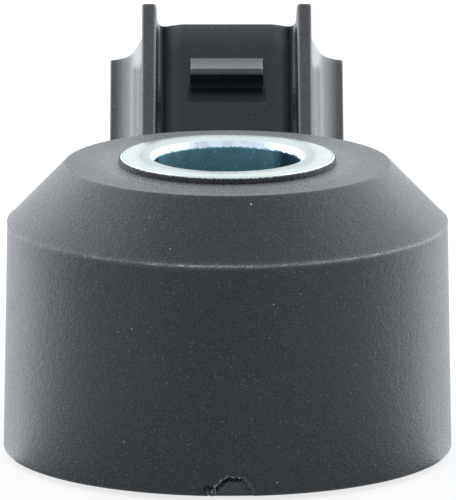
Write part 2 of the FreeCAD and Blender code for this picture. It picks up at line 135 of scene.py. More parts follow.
def ring_faces(rows: int, columns: int, closed: bool = False) -> list[tuple[int, ...]]:
    """List the four-sided faces of rings of points stored one after another.

    Args:
        rows: Number of rings.
        columns: Number of points in a ring.
        closed: True where the last ring joins the first.

    Returns:
        The faces as point numbers.
    """
    faces = []
    for row in range(rows if closed else rows - 1):
        low, high = row * columns, (row + 1) % rows * columns
        for column in range(columns):
            after = (column + 1) % columns
            faces.append((low + column, low + after, high + after, high + column))
    return faces


def arc(centre: Point, radius: float, start: float, end: float, steps: int) -> list[Point]:
    """Give the points of an arc between two angles in degrees, both ends included."""
    angles = np.radians(np.linspace(start, end, steps + 1))
    return [(centre[0] + radius * math.cos(a), centre[1] + radius * math.sin(a)) for a in angles]


def rounded_outline(corners: Sequence[tuple[float, float, float]], steps: int) -> list[Point]:
    """Round the corners of a closed outline.

    Args:
        corners: Corner places, each with its radius, which may be zero.
        steps: Straight pieces in each round corner.

    Returns:
        The points of the rounded outline.
    """
    points: list[Point] = []
    for number, (x, y, radius) in enumerate(corners):
        if radius <= 0:
            points.append((x, y))
            continue
        here = np.array([x, y])
        before = np.array(corners[number - 1][:2]) - here
        after = np.array(corners[(number + 1) % len(corners)][:2]) - here
        before /= np.linalg.norm(before)
        after /= np.linalg.norm(after)
        half = math.acos(float(np.clip(before @ after, -1, 1))) / 2
        reach = radius / math.tan(half)
        middle = here + (before + after) / np.linalg.norm(before + after) * radius / math.sin(half)
        for share in np.arange(steps + 1) / steps:
            toward = (here + before * reach - middle) * (1 - share) + (here + after * reach - middle) * share
            spot = middle + toward / np.linalg.norm(toward) * radius
            points.append((float(spot[0]), float(spot[1])))
    return points


def turned_points(outline: Sequence[Point], angles: np.ndarray) -> np.ndarray:
    """Turn an outline of radius and height about the bolt axis.

    Args:
        outline: Radius and height of each row.
        angles: Angles of the columns in radians.

    Returns:
        Array of rows by columns by 3 places.
    """
    radii, heights = np.array(outline).T[:, :, None]
    across = radii * np.cos(angles)
    return np.stack([across, radii * np.sin(angles), np.broadcast_to(heights, across.shape)], axis=2)


def turned_object(name: str, points: np.ndarray) -> Piece:
    """Make a closed turned piece from rows by columns of places."""
    return new_object(name, points.reshape(-1, 3), ring_faces(*points.shape[:2], True))


def joined(name: str, pieces: Sequence[Piece]) -> Piece:
    """Put several mesh objects into one."""
    first = pieces[0]
    with bpy.context.temp_override(active_object=first, selected_editable_objects=list(pieces)):
        bpy.ops.object.join()
    first.name = first.data.name = name
    return first


def sharpen(piece: Piece, degrees: float) -> None:
    """Shade a piece smooth except across edges sharper than an angle."""
    piece.data.shade_smooth()
    piece.data.set_sharp_from_angle(angle=math.radians(degrees))


def dress(piece: Piece, material: bpy.types.Material) -> None:
    """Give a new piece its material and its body.

    Args:
        piece: The piece.
        material: Its material.
    """
    piece.data.materials.clear()
    piece.data.materials.append(material)
    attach(piece, BODY)
    LOG.info("%s: %d points", piece.name, len(piece.data.vertices))


def places(piece: Piece) -> np.ndarray:
    """Give the places of a piece's points in millimetres."""
    return np.array([vertex.co for vertex in piece.data.vertices]) / MM


def store(piece: Piece, mark: Mark, values: np.ndarray) -> None:
    """Store a number on each point of a piece."""
    layer = piece.data.attributes.new(mark.value, "FLOAT", "POINT")
    layer.data.foreach_set("value", np.asarray(values, dtype=np.float32))


def peak(distance: np.ndarray, width: float) -> np.ndarray:
    """Give 1 at no distance, fading over a width."""
    return np.exp(-(distance / width) ** 2)


def within(away: np.ndarray, width: float = 0.02) -> np.ndarray:
    """Give 1 inside an edge and 0 outside it, going over softly."""
    return 1 / (1 + np.exp(away / width))


def grown(amount: np.ndarray, length: float) -> np.ndarray:
    """Give how much of a length an amount has reached, from 0 to 1."""
    return np.clip(amount / length, 0, 1)


# ---- Nodes ----


def _worked_out(operation: str, swapped: bool = False) -> Callable[..., "Signal"]:
    """Make a method of Signal that adds a Math node.

    Args:
        operation: Blender's name for the sum.
        swapped: True where the other value comes first.

    Returns:
        The method.
    """
    def method(self: "Signal", *others: "Signal | float") -> "Signal":
        """Work out a signal from this one and the others."""
        return self.nodes.math(operation, *((*others, self) if swapped else (self, *others)))
    return method


class Signal:
    """The output of a node, with the sums and products that further nodes make of it."""

    __add__ = __radd__ = _worked_out("ADD")
    __mul__ = __rmul__ = _worked_out("MULTIPLY")
    __sub__, __rsub__ = _worked_out("SUBTRACT"), _worked_out("SUBTRACT", True)
    __truediv__, __rtruediv__ = _worked_out("DIVIDE"), _worked_out("DIVIDE", True)
    __pow__, __abs__ = _worked_out("POWER"), _worked_out("ABSOLUTE")
    most, least, below = _worked_out("MAXIMUM"), _worked_out("MINIMUM"), _worked_out("LESS_THAN")

    def __init__(self, nodes: "Sockets", socket: bpy.types.NodeSocket) -> None:
        """Hold an output and the helper of its tree."""
        self.nodes, self.socket = nodes, socket

    def clamped(self) -> "Signal":
        """Keep between 0 and 1."""
        return self.nodes.math("ADD", self, 0.0, clamp=True)

    def ramp(self, low: "Signal | float", high: float, first: float = 0.0, last: float = 1.0) -> "Signal":
        """Carry one range into another, smoothly and without going outside it."""
        inputs = {"Value": self, "From Min": low, "From Max": high, "To Min": first, "To Max": last}
        return self.nodes.first("ShaderNodeMapRange", inputs, interpolation_type="SMOOTHSTEP")


Signals = dict[str, Signal]


@dataclass
class Sockets:
    """Adds nodes to one tree and joins them."""

    tree: Tree

    def put(self, socket: bpy.types.NodeSocket, value: object) -> None:
        """Join a signal to an input, or set the input to a plain value."""
        if isinstance(value, Signal):
            self.tree.links.new(value.socket, socket)
        else:
            socket.default_value = value

    def add(self, kind: str, values: dict[str | int, object] | None = None, **settings: object) -> bpy.types.Node:
        """Add a node.

        Args:
            kind: Blender's name for the node.
            values: Input names, or numbers, with a value or a signal to join.
            settings: Properties of the node.

        Returns:
            The new node.
        """
        node = self.tree.nodes.new(kind)
        for name, value in settings.items():
            setattr(node, name, value)
        for name, value in (values or {}).items():
            self.put(node.inputs[name], value)
        return node

    def first(self, kind: str, values: dict[str | int, object] | None = None, **settings: object) -> Signal:
        """Add a node and give its first output."""
        return Signal(self, self.add(kind, values, **settings).outputs[0])

    def named(self, node: bpy.types.Node) -> Signals:
        """Give a node's outputs by name."""
        return {socket.name: Signal(self, socket) for socket in node.outputs if socket.name}

    def split(self, vector: Signal) -> list[Signal]:
        """Give the X, Y and Z of a vector."""
        return list(self.named(self.add("ShaderNodeSeparateXYZ", {"Vector": vector})).values())

    def vector(self, x: Signal | float, y: Signal | float, z: Signal | float) -> Signal:
        """Make a vector of three numbers."""
        return self.first("ShaderNodeCombineXYZ", {"X": x, "Y": y, "Z": z})

    def stretch(self, vector: Signal, factors: Colour) -> Signal:
        """Multiply a vector's three parts by factors."""
        return self.first("ShaderNodeVectorMath", {0: vector, 1: factors}, operation="MULTIPLY")

    def math(self, operation: str, *values: object, clamp: bool = False) -> Signal:
        """Add a Math node."""
        return self.first("ShaderNodeMath", dict(enumerate(values)), operation=operation, use_clamp=clamp)

    def mix(self, factor: object, first: object, second: object, blend: str = "MIX") -> Signal:
        """Mix two colours."""
        node = self.add("ShaderNodeMix", {0: factor, 6: first, 7: second}, data_type="RGBA", blend_type=blend)
        return Signal(self, node.outputs[2])

    def layered(self, base: object, layers: Sequence[tuple[Signal, float, object]]) -> Signal:
        """Lay colours over a base colour, each with its mask and its strength."""
        for mask, strength, colour in layers:
            base = self.mix(mask * strength, base, colour)
        return base

    def noise(self, place: Signal, scale: object, detail: float = 2.0, rough: float = 0.5) -> Signal:
        """Add a noise texture and give its value."""
        inputs = {"Vector": place, "Scale": scale, "Detail": detail, "Roughness": rough}
        return self.first("ShaderNodeTexNoise", inputs)


# ---- Shared effects ----


def shader_group(name: str, inputs: dict[str, float | None], build: Callable[[Sockets, Signals], Signals]) -> Tree:
    """Make a shader node group.

    Args:
        name: Name of the group.
        inputs: Input names with a default number, or None for a vector.
        build: Makes the output numbers from the tree's helper and the inputs.

    Returns:
        The group.
    """
    tree = bpy.data.node_groups.new(name, "ShaderNodeTree")
    for label, value in inputs.items():
        kind = "NodeSocketVector" if value is None else "NodeSocketFloat"
        socket = tree.interface.new_socket(label, in_out="INPUT", socket_type=kind)
        if value is not None:
            socket.default_value = value
    nodes = Sockets(tree)
    made = build(nodes, nodes.named(nodes.add("NodeGroupInput")))
    for label in made:
        tree.interface.new_socket(label, in_out="OUTPUT", socket_type="NodeSocketFloat")
    nodes.add("NodeGroupOutput", made)
    return tree


def surface_grain(nodes: Sockets, given: Signals) -> Signals:
    """Build the fine spark-eroded grain of a mould or a rough casting."""
    scale, share = 1.0 / given["Grain Size"], given["Coarse Share"]
    fine = nodes.noise(given["Place"], scale, 3.0, 0.6)
    coarse = nodes.noise(given["Place"], scale * 0.3)
    both = fine * (1.0 - share) + coarse * share
    return {"Height": both, "Tone": both.ramp(0.35, 0.68)}


def dust_specks(nodes: Sockets, given: Signals) -> Signals:
    """Build sparse round specks of pale dust."""
    inputs = {"Vector": given["Place"], "Scale": 1.0 / given["Spacing"]}
    cells = nodes.named(nodes.add("ShaderNodeTexVoronoi", inputs))
    chance, swell, _ = nodes.named(nodes.add("ShaderNodeSeparateColor", {"Color": cells["Color"]})).values()
    return {"Mask": chance.below(given["Share"]) * cells["Distance"].below(given["Radius"] * (swell + 0.35))}


def hair_scratches(nodes: Sockets, given: Signals) -> Signals:
    """Build short hair-thin scratches that run in a few directions."""
    scale = 1.0 / given["Length"]
    masks = []
    for turn, stretch in ((0.5, 26.0), (1.9, 34.0), (2.7, 22.0)):
        inputs = {"Vector": given["Place"], "Rotation": (turn, turn * 0.7, turn * 1.3)}
        turned = nodes.first("ShaderNodeVectorRotate", inputs, rotation_type="EULER_XYZ")
        lines = nodes.noise(nodes.stretch(turned, (1.0, stretch, 4.0)), scale, 1.0, 0.4)
        masks.append(abs(lines - 0.5).ramp(0.0, 0.006, 1.0, 0.0))
    patches = nodes.noise(given["Place"], scale * 0.8, 1.0)
    seen = patches.ramp(0.82 - given["Amount"] * 0.3, 0.9)
    return {"Mask": masks[0].most(masks[1]).most(masks[2]) * seen}


def axis_distance(nodes: Sockets, place: Signal) -> Signal:
    """Give the distance from the bolt axis."""
    x, y, _ = nodes.split(place)
    return nodes.math("SQRT", x**2.0 + y**2.0)


def turning_rings(nodes: Sockets, given: Signals) -> Signals:
    """Build the fine rings that a lathe tool leaves round the bolt axis."""
    travel = axis_distance(nodes, given["Place"]) + nodes.split(given["Place"])[2] * 0.7
    return {"Height": nodes.noise(nodes.vector(travel / given["Pitch"], 0.0, 0.0), 1.0, 3.0, 0.7)}


def slow_clouds(nodes: Sockets, given: Signals) -> Signals:
    """Build slow uneven patches, as of handling, oil or plating."""
    return {"Tone": nodes.noise(given["Place"], 1.0 / given["Size"], 4.0, 0.6).ramp(0.3, 0.7)}


EFFECTS: dict[Callable[[Sockets, Signals], Signals], dict[str, float | None]] = {
    surface_grain: {"Place": None, "Grain Size": 0.00012, "Coarse Share": 0.4},
    dust_specks: {"Place": None, "Spacing": 0.001, "Radius": 0.1, "Share": 0.2},
    hair_scratches: {"Place": None, "Length": 0.002, "Amount": 0.5},
    turning_rings: {"Place": None, "Pitch": 0.00008},
    slow_clouds: {"Place": None, "Size": 0.004},
}


# ---- Finishes ----


class Canvas(Sockets):
    """The tree of one material, with its shader, the shared groups and the place on the piece."""

    def __init__(self, tree: Tree, groups: dict[str, Tree], shader: dict[str, object]) -> None:
        """Start the tree with a Principled shader.

        Args:
            tree: The material's tree.
            groups: The shared groups by name.
            shader: Plain values for the shader's inputs.
        """
        super().__init__(tree)
        tree.nodes.clear()
        self.groups = groups
        self.shader = self.add("ShaderNodeBsdfPrincipled", shader)
        self.add("ShaderNodeOutputMaterial", {"Surface": Signal(self, self.shader.outputs[0])})
        self.place = self.named(self.add("ShaderNodeTexCoord"))["Object"]

    def effect(self, group: str, output: str, **values: float) -> Signal:
        """Place a shared group and give one output; underscores in the value names stand for spaces."""
        return self.effects(group, **values)[output]

    def effects(self, group: str, **values: float) -> Signals:
        """Place a shared group and give its outputs."""
        inputs = {label.replace("_", " "): value for label, value in values.items()}
        return self.named(self.add("ShaderNodeGroup", {"Place": self.place, **inputs}, node_tree=self.groups[group]))

    def read(self, mark: Mark) -> Signal:
        """Read a number stored on the piece's points."""
        return self.named(self.add("ShaderNodeAttribute", attribute_name=mark.value))["Fac"]

    def feed(self, label: str, signal: Signal) -> None:
        """Join a signal to an input of the shader."""
        self.put(self.shader.inputs[label], signal)

    def feed_bump(self, height: Signal, strength: Signal | float, depth: float) -> None:
        """Join a height to the shader's normal."""
        self.feed("Normal", self.first("ShaderNodeBump", {"Strength": strength, "Distance": depth, "Height": height}))


@dataclass(frozen=True)
class Finish:
    """A surface finish that makes its own material."""

    name: str
    colour: Colour
    roughness: float = 0.5
    metallic: float = 0.0
    ior: float = 1.5

    def material(self, groups: dict[str, Tree]) -> bpy.types.Material:
        """Make the node material of this finish from the shared groups."""
        made = bpy.data.materials.new(self.name)
        made.use_nodes = True
        self.paint(Canvas(made.node_tree, groups, {"Metallic": self.metallic, "IOR": self.ior}))
        return made

    def shade(self, factor: float) -> tuple[float, ...]:
        """Give the finish's colour times a factor."""
        return tint(self.colour, factor)

    def paint(self, on: Canvas) -> None:
        """Join the finish's colour, roughness and bump to its shader."""
        raise NotImplementedError


def tint(colour: Colour, factor: float = 1.0) -> tuple[float, ...]:
    """Give a colour times a factor, with its alpha."""
    return (*(part * factor for part in colour), 1.0)


@dataclass(frozen=True)
class MouldedPlastic(Finish):
    """Black glass-filled plastic with a spark-eroded grain, dust, handling marks, and painted glints, highlights and
    shade.
    """

    grain_size: float = 0.00011
    bump: float = 1.0
    bump_depth: float = 0.00006
    dust_share: float = 0.50
    edge_colour: Colour = (0.105, 0.114, 0.124)
    torn_colour: Colour = (0.42, 0.43, 0.45)
    scratch_colour: Colour = (0.11, 0.115, 0.12)
    dust_colour: Colour = (0.40, 0.41, 0.42)
    sparkle: float = 9.5
    sparkle_scale: float = 11500.0
    torn_scale: float = 13000.0
    coat_roughness: float = 0.2
    coat_share: float = 0.62
    crease_share: float = 1.15

    def paint(self, on: Canvas) -> None:
        """Join grain, clouds, dust, painted glints, scratches, worn edges with painted highlights, and the gloss with
        painted shade to the shader.
        """
        grain = on.effects("surface_grain", Grain_Size=self.grain_size)
        tone = grain["Tone"]
        clouds = on.effect("slow_clouds", "Tone", Size=0.005)
        dust = on.effect("dust_specks", "Mask", Spacing=0.0012, Radius=0.042, Share=self.dust_share)
        fine_dust = on.effect("dust_specks", "Mask", Spacing=0.0005, Radius=0.055, Share=self.dust_share * 1.6)
        scratch = on.effect("hair_scratches", "Mask", Length=0.0022, Amount=0.35)
        worn, gloss_and_shade = on.read(Mark.WORN), on.read(Mark.GLOSS)
        polished, painted_shade = gloss_and_shade.most(0.0), gloss_and_shade.least(0.0) * -1.0
        coarse = 1.0 - on.read(Mark.FINE) * 0.65
        # Wear and painted highlight: this mask lightens worn edges and also the lit top face, haunches and tab.
        edge = (worn * (tone.ramp(0.0, 0.8) * 0.45 + 0.45)).clamped()
        # Painted glints: bright specks in the base colour stand in for glints off the grain.
        sparkle = on.noise(on.place, self.sparkle_scale, 1.0).ramp(0.60, 0.74) * coarse
        torn = (worn * (on.noise(on.place, self.torn_scale, 1.0) + 0.5)).ramp(1.15, 1.5)
        pale = dust.most(fine_dust * 0.6) * coarse
        layers = (
            (clouds, 0.35, self.shade(1.45)),
            (edge, 0.85, tint(self.edge_colour)),
            (sparkle, 0.7, self.shade(self.sparkle)),
            (torn, 1.0, tint(self.torn_colour)),
            (scratch, 0.35, tint(self.scratch_colour)),
            (pale, 0.85, tint(self.dust_colour)),
            # Painted shade: negative gloss darkens the base colour in the panel's recesses.
            (painted_shade, 0.7, self.shade(0.15)),
        )
        on.feed("Base Color", on.layered(on.mix(tone, self.shade(0.72), self.shade(1.3)), layers))
        on.put(on.shader.inputs["Coat Roughness"], self.coat_roughness)
        on.put(on.shader.inputs["Coat IOR"], self.ior)
        on.feed("Coat Weight", (polished * self.coat_share).clamped())
        # Painted shade: metallic over the near-black base colour takes the reflection out of those recesses.
        on.feed("Metallic", (painted_shade * self.crease_share).clamped())
        rough = clouds * 0.06 + tone * 0.06 + (self.roughness - 0.06) - polished * 0.12
        on.feed("Roughness", rough + pale * 0.3)
        on.feed_bump(grain["Height"] + scratch * -0.35, coarse * self.bump, self.bump_depth)


@dataclass(frozen=True)
class TurnedMetal(Finish):
    """Lathe-turned and plated metal with tool rings and small matt patches."""

    pitch: float = 0.00009
    bump: float = 0.25
    bump_depth: float = 0.000004

    def toned(self, on: Canvas, base: Signal) -> Signal:
        """Give the base colour with the tones that belong to one piece only."""
        return base

    def rougher(self, on: Canvas) -> Signal | float:
        """Give how much rougher some part of one piece is."""
        return 0.0

    def paint(self, on: Canvas) -> None:
        """Join tool rings, grain and patches to the shader."""
        rings = on.effect("turning_rings", "Height", Pitch=self.pitch)
        grain = on.effects("surface_grain", Grain_Size=0.00007)
        clouds = on.effect("slow_clouds", "Tone", Size=0.0025)
        scratch = on.effect("hair_scratches", "Mask", Length=0.0015, Amount=0.6)
        layers = ((grain["Tone"], 0.15, self.shade(0.8)), (scratch, 0.3, self.shade(0.55)))
        base = on.layered(on.mix(clouds, self.shade(0.95), self.shade(1.0)), layers)
        on.feed("Base Color", self.toned(on, base))
        rough = clouds * 0.08 + (self.roughness - 0.04) + self.rougher(on)
        on.feed("Roughness", rough + grain["Tone"] * 0.05)
        on.feed_bump(rings + grain["Height"] * 0.4, self.bump, self.bump_depth)


@dataclass(frozen=True)
class PlatedBush(TurnedMetal):
    """Zinc-plated bush: tool rings on its end face and a streaked bore darkened with painted shade."""

    bore_radius: float = 0.0042
    bore_roughness: float = 0.34
    slope_radius: float = 0.00443
    # The plating's teal tint, darkened as painted shade inside the bore.
    bore_colour: Colour = (0.150, 0.330, 0.385)
    streak_colour: Colour = (0.60, 0.75, 0.78)
    smudge_colour: Colour = (0.13, 0.19, 0.17)
    soot_colour: Colour = (0.03, 0.07, 0.10)
    chamfer_tint: Colour = (0.80, 0.90, 1.0)
    face_tones: tuple[tuple[float, float, float, float], ...] = (
        (4.44, 0.97, 0.99, 1.00),
        (4.62, 0.86, 0.88, 0.89),
        (4.90, 0.88, 0.895, 0.89),
        (4.98, 0.76, 0.72, 0.74),
        (5.06, 0.90, 0.92, 0.90),
        (5.60, 0.95, 0.99, 0.955),
        (5.98, 0.95, 0.98, 0.95),
        (6.04, 0.55, 0.59, 0.59),
        (6.09, 0.95, 0.98, 0.98),
    )

    def rougher(self, on: Canvas) -> Signal:
        """Give the roughness that the reamed bore adds."""
        start = self.bore_radius + 0.00002
        return axis_distance(on, on.place).ramp(start, start + 0.00004, self.bore_roughness, 0.0)

    def face(self, on: Canvas, radius: Signal) -> Signal:
        """Give the rings of tone on the end face, each at its radius in millimetres."""
        first, last = self.face_tones[0][0], self.face_tones[-1][0]
        share = ((radius - first * MM) / ((last - first) * MM)).clamped()
        tones = on.add("ShaderNodeValToRGB", {0: share})
        stops = tones.color_ramp.elements
        while len(stops) < len(self.face_tones):
            stops.new(1.0)
        for stop, (spot, *colour) in zip(stops, self.face_tones):
            stop.position = (spot - first) / (last - first)
            stop.color = tint(colour)
        return Signal(on, tones.outputs[0])

    def bore(self, on: Canvas) -> Signal:
        """Give the bore's colour: the plating's teal tint darkened as painted shade, with streaks, smudges and painted
        shade on its left and right sides.
        """
        side = on.split(on.place)[0]
        streaks = on.noise(on.stretch(on.place, (1.0, 1.0, 0.4)), 6500.0, 2.0, 0.6).ramp(0.62, 0.70)
        smudges = on.noise(on.place, 1300.0, 3.0, 0.6).ramp(0.54, 0.66)
        # Painted shade on the bore's left and right sides.
        painted_side_shade = side.ramp(0.0025, 0.0033).most(side.ramp(-0.0041, -0.0038, 1.0, 0.0))
        layers = (
            (streaks, 0.5, tint(self.streak_colour)),
            (smudges, 0.35, tint(self.smudge_colour)),
            (painted_side_shade, 1.0, tint(self.soot_colour)),
        )
        return on.layered(tint(self.bore_colour), layers)

    def toned(self, on: Canvas, base: Signal) -> Signal:
        """Give the base colour with the face's rings of tone, the worn chamfer and the bore."""
        radius = axis_distance(on, on.place)
        face = on.mix(1.0, base, self.face(on, radius), "MULTIPLY")
        worn = on.noise(on.stretch(on.place, (1.0, 1.0, 0.12)), 1500.0, 3.0, 0.6).ramp(0.42, 0.62)
        slope = on.mix(worn, tint(self.chamfer_tint), tint(self.chamfer_tint, 0.84))
        on_slope = radius.ramp(self.slope_radius, self.slope_radius + 0.00003, 1.0, 0.0)
        jagged = (on.noise(on.place, 5200.0) - 0.5) * 0.00016
        inside = (radius + jagged).ramp(self.bore_radius + 0.00003, self.bore_radius + 0.00005, 1.0, 0.0)
        return on.mix(inside, on.mix(on_slope, face, slope), self.bore(on))


@dataclass(frozen=True)
class SheetFinish(Finish):
    """Stamped metal, film or fired ceramic with grain and slow patches."""

    grain_size: float = 0.0001
    contrast: float = 0.2
    bump: float = 0.2
    bump_depth: float = 0.000006

    def paint(self, on: Canvas) -> None:
        """Join grain, patches and scratches to the shader."""
        grain = on.effects("surface_grain", Grain_Size=self.grain_size)
        clouds = on.effect("slow_clouds", "Tone", Size=0.002)
        scratch = on.effect("hair_scratches", "Mask", Length=0.0012, Amount=0.6)
        layers = ((grain["Tone"], 0.2, self.shade(0.8)), (scratch, 0.25, self.shade(0.6)))
        on.feed("Base Color", on.layered(on.mix(clouds, self.shade(1 - self.contrast), self.shade(1.0)), layers))
        on.feed("Roughness", clouds * 0.1 + (self.roughness - 0.05))
        on.feed_bump(grain["Height"], self.bump, self.bump_depth)


FINISHES: dict[Slot, Finish] = {
    Slot.PLASTIC: MouldedPlastic("black_moulded_plastic", (0.0090, 0.0125, 0.0155), 0.26, ior=1.55),
    Slot.SLEEVE: PlatedBush("plated_bush", (0.85, 0.92, 0.885), 0.22, 1.0),
    Slot.INSULATOR: SheetFinish("polyimide_film", (0.42, 0.17, 0.03), 0.38),
    Slot.BRASS: SheetFinish("stamped_brass", (0.80, 0.60, 0.28), 0.3, 1.0),
    Slot.CERAMIC: SheetFinish("fired_piezo_ceramic", (0.52, 0.45, 0.30), 0.62, grain_size=0.00006),
    Slot.MASS: TurnedMetal("turned_mass_steel", (0.55, 0.55, 0.56), 0.34, 1.0),
    Slot.SPRING: SheetFinish("blued_spring_steel", (0.20, 0.22, 0.27), 0.3, 1.0),
    Slot.NUT: TurnedMetal("turned_nut_steel", (0.62, 0.60, 0.55), 0.3, 1.0),
    Slot.TERMINAL: SheetFinish("tinned_terminal_strip", (0.50, 0.50, 0.485), 0.40, 1.0, contrast=0.35),
    Slot.CHIP: SheetFinish("chip_ceramic", (0.06, 0.07, 0.09), 0.45),
    Slot.CAP: SheetFinish("tinned_cap", (0.70, 0.70, 0.69), 0.3, 1.0),
    Slot.LEAD: SheetFinish("tinned_lead", (0.72, 0.72, 0.70), 0.3, 1.0),
}
Materials = dict[Slot, bpy.types.Material]


def all_materials() -> Materials:
    """Make the shared groups and every material once."""
    groups = {build.__name__: shader_group(build.__name__, inputs, build) for build, inputs in EFFECTS.items()}
    return {slot: finish.material(groups) for slot, finish in FINISHES.items()}


# ---- Housing ----


@dataclass
class GateMark:
    """The half-round scar of the mould's gate at the front of the wall's foot, with a torn pit beside it."""

    middle: float = 0.30
    radius: float = 1.12
    depth: float = 0.09
    crescent_depth: float = 0.18
    crescent_turn: float = 1.85
    crescent_reach: float = 0.9
    crescent_inset: float = 0.13
    crescent_width: float = 0.085
    foot: float = 0.3
    rim_width: float = 0.06
    rim_height: float = 0.06
    rim_wear: float = 1.75
    floor_wear: float = 0.4
    hairline: float = -0.70
    hairline_width: float = 0.035
    hairline_span: Point = (0.38, 1.0)
    hairline_wear: float = 1.9
    pit_wear: float = 2.0
    pit: Point = (-1.05, 0.62)
    pit_radius: float = 0.27
    pit_depth: float = 0.22
    reach: float = 2.5
    height: float = 3.0
    wall: float = 12.3

    def near(self, across: np.ndarray, radius: np.ndarray, height: np.ndarray) -> np.ndarray:
        """Tell which places lie on the outside of the wall near the mark."""
        return (np.abs(across) < self.reach) & (radius > self.wall) & (height < self.height)

    def _away(self, across: np.ndarray, height: np.ndarray) -> tuple[np.ndarray, np.ndarray]:
        """Give the direction from the mark's middle and the distance outside its ragged edge."""
        turn = np.arctan2(height - self.foot, across - self.middle)
        ragged = 0.030 * np.sin(turn * 7 + 0.6) + 0.022 * np.sin(turn * 17 + 2.1)
        return turn, np.hypot(across - self.middle, height - self.foot) - self.radius - ragged

    def _in_pit(self, across: np.ndarray, height: np.ndarray) -> np.ndarray:
        """Give how far inside the torn pit each place lies, from 0 outside to 1."""
        turn = np.arctan2(height - self.pit[1], across - self.pit[0])
        ragged = self.pit_radius * (1 + 0.25 * np.sin(turn * 3 + 1.0) + 0.18 * np.sin(turn * 7))
        return within(np.hypot((across - self.pit[0]) * 0.8, height - self.pit[1]) - ragged)

    @staticmethod
    def _grains(across: np.ndarray, height: np.ndarray) -> np.ndarray:
        """Give the uneven grains in the pit, from -1 to 1."""
        return np.sin(across * 53) * np.sin(height * 47 + 1.3)

    def relief(self, across: np.ndarray, height: np.ndarray) -> np.ndarray:
        """Give how far the wall stands out or in near the mark.

        Args:
            across: Distance from the middle of the front along the wall.
            height: Height above the mounting face.

        Returns:
            Relief in millimetres, negative inwards.
        """
        turn, away = self._away(across, height)
        inside = within(away)
        crescent = np.exp(-(((turn - self.crescent_turn) / self.crescent_reach) ** 4))
        crescent = crescent * peak(away + self.crescent_inset, self.crescent_width)
        lip = peak(away - self.rim_width * 0.5, self.rim_width)
        rough = 0.5 + 0.5 * np.sin(turn * 13) * np.sin(turn * 29 + 1.0)
        pitted = self.pit_depth * self._in_pit(across, height) * (0.7 + 0.3 * self._grains(across, height))
        raised = self.rim_height * lip * rough * (1 - inside)
        return raised - self.depth * inside - self.crescent_depth * crescent - pitted

    def wear(self, across: np.ndarray, height: np.ndarray) -> np.ndarray:
        """Give how pale the torn rim, the hairline and the pit's grains are.

        Args:
            across: Distance from the middle of the front along the wall.
            height: Height above the mounting face.

        Returns:
            Wear, up to 2.
        """
        turn, away = self._away(across, height)
        rough = np.clip(0.78 + 0.4 * np.sin(turn * 11 + 0.4) * np.sin(turn * 31), 0, 1)
        strong = np.clip(1.25 - 0.35 * np.abs(turn - 2.0), 0.5, 1.0)
        rim = self.rim_wear * rough * strong * peak(away - 0.045, 0.062)
        bend = self.hairline - 0.12 * (height - 0.5)
        low, high = self.hairline_span
        line = self.hairline_wear * peak(across - bend, self.hairline_width) * (height > low) * (height < high)
        pale = self._in_pit(across, height) * (self._grains(across, height) > 0.35) * (height < self.pit[1] + 0.05)
        return np.maximum.reduce([rim, self.floor_wear * within(away + 0.3, 0.03), line, self.pit_wear * pale])


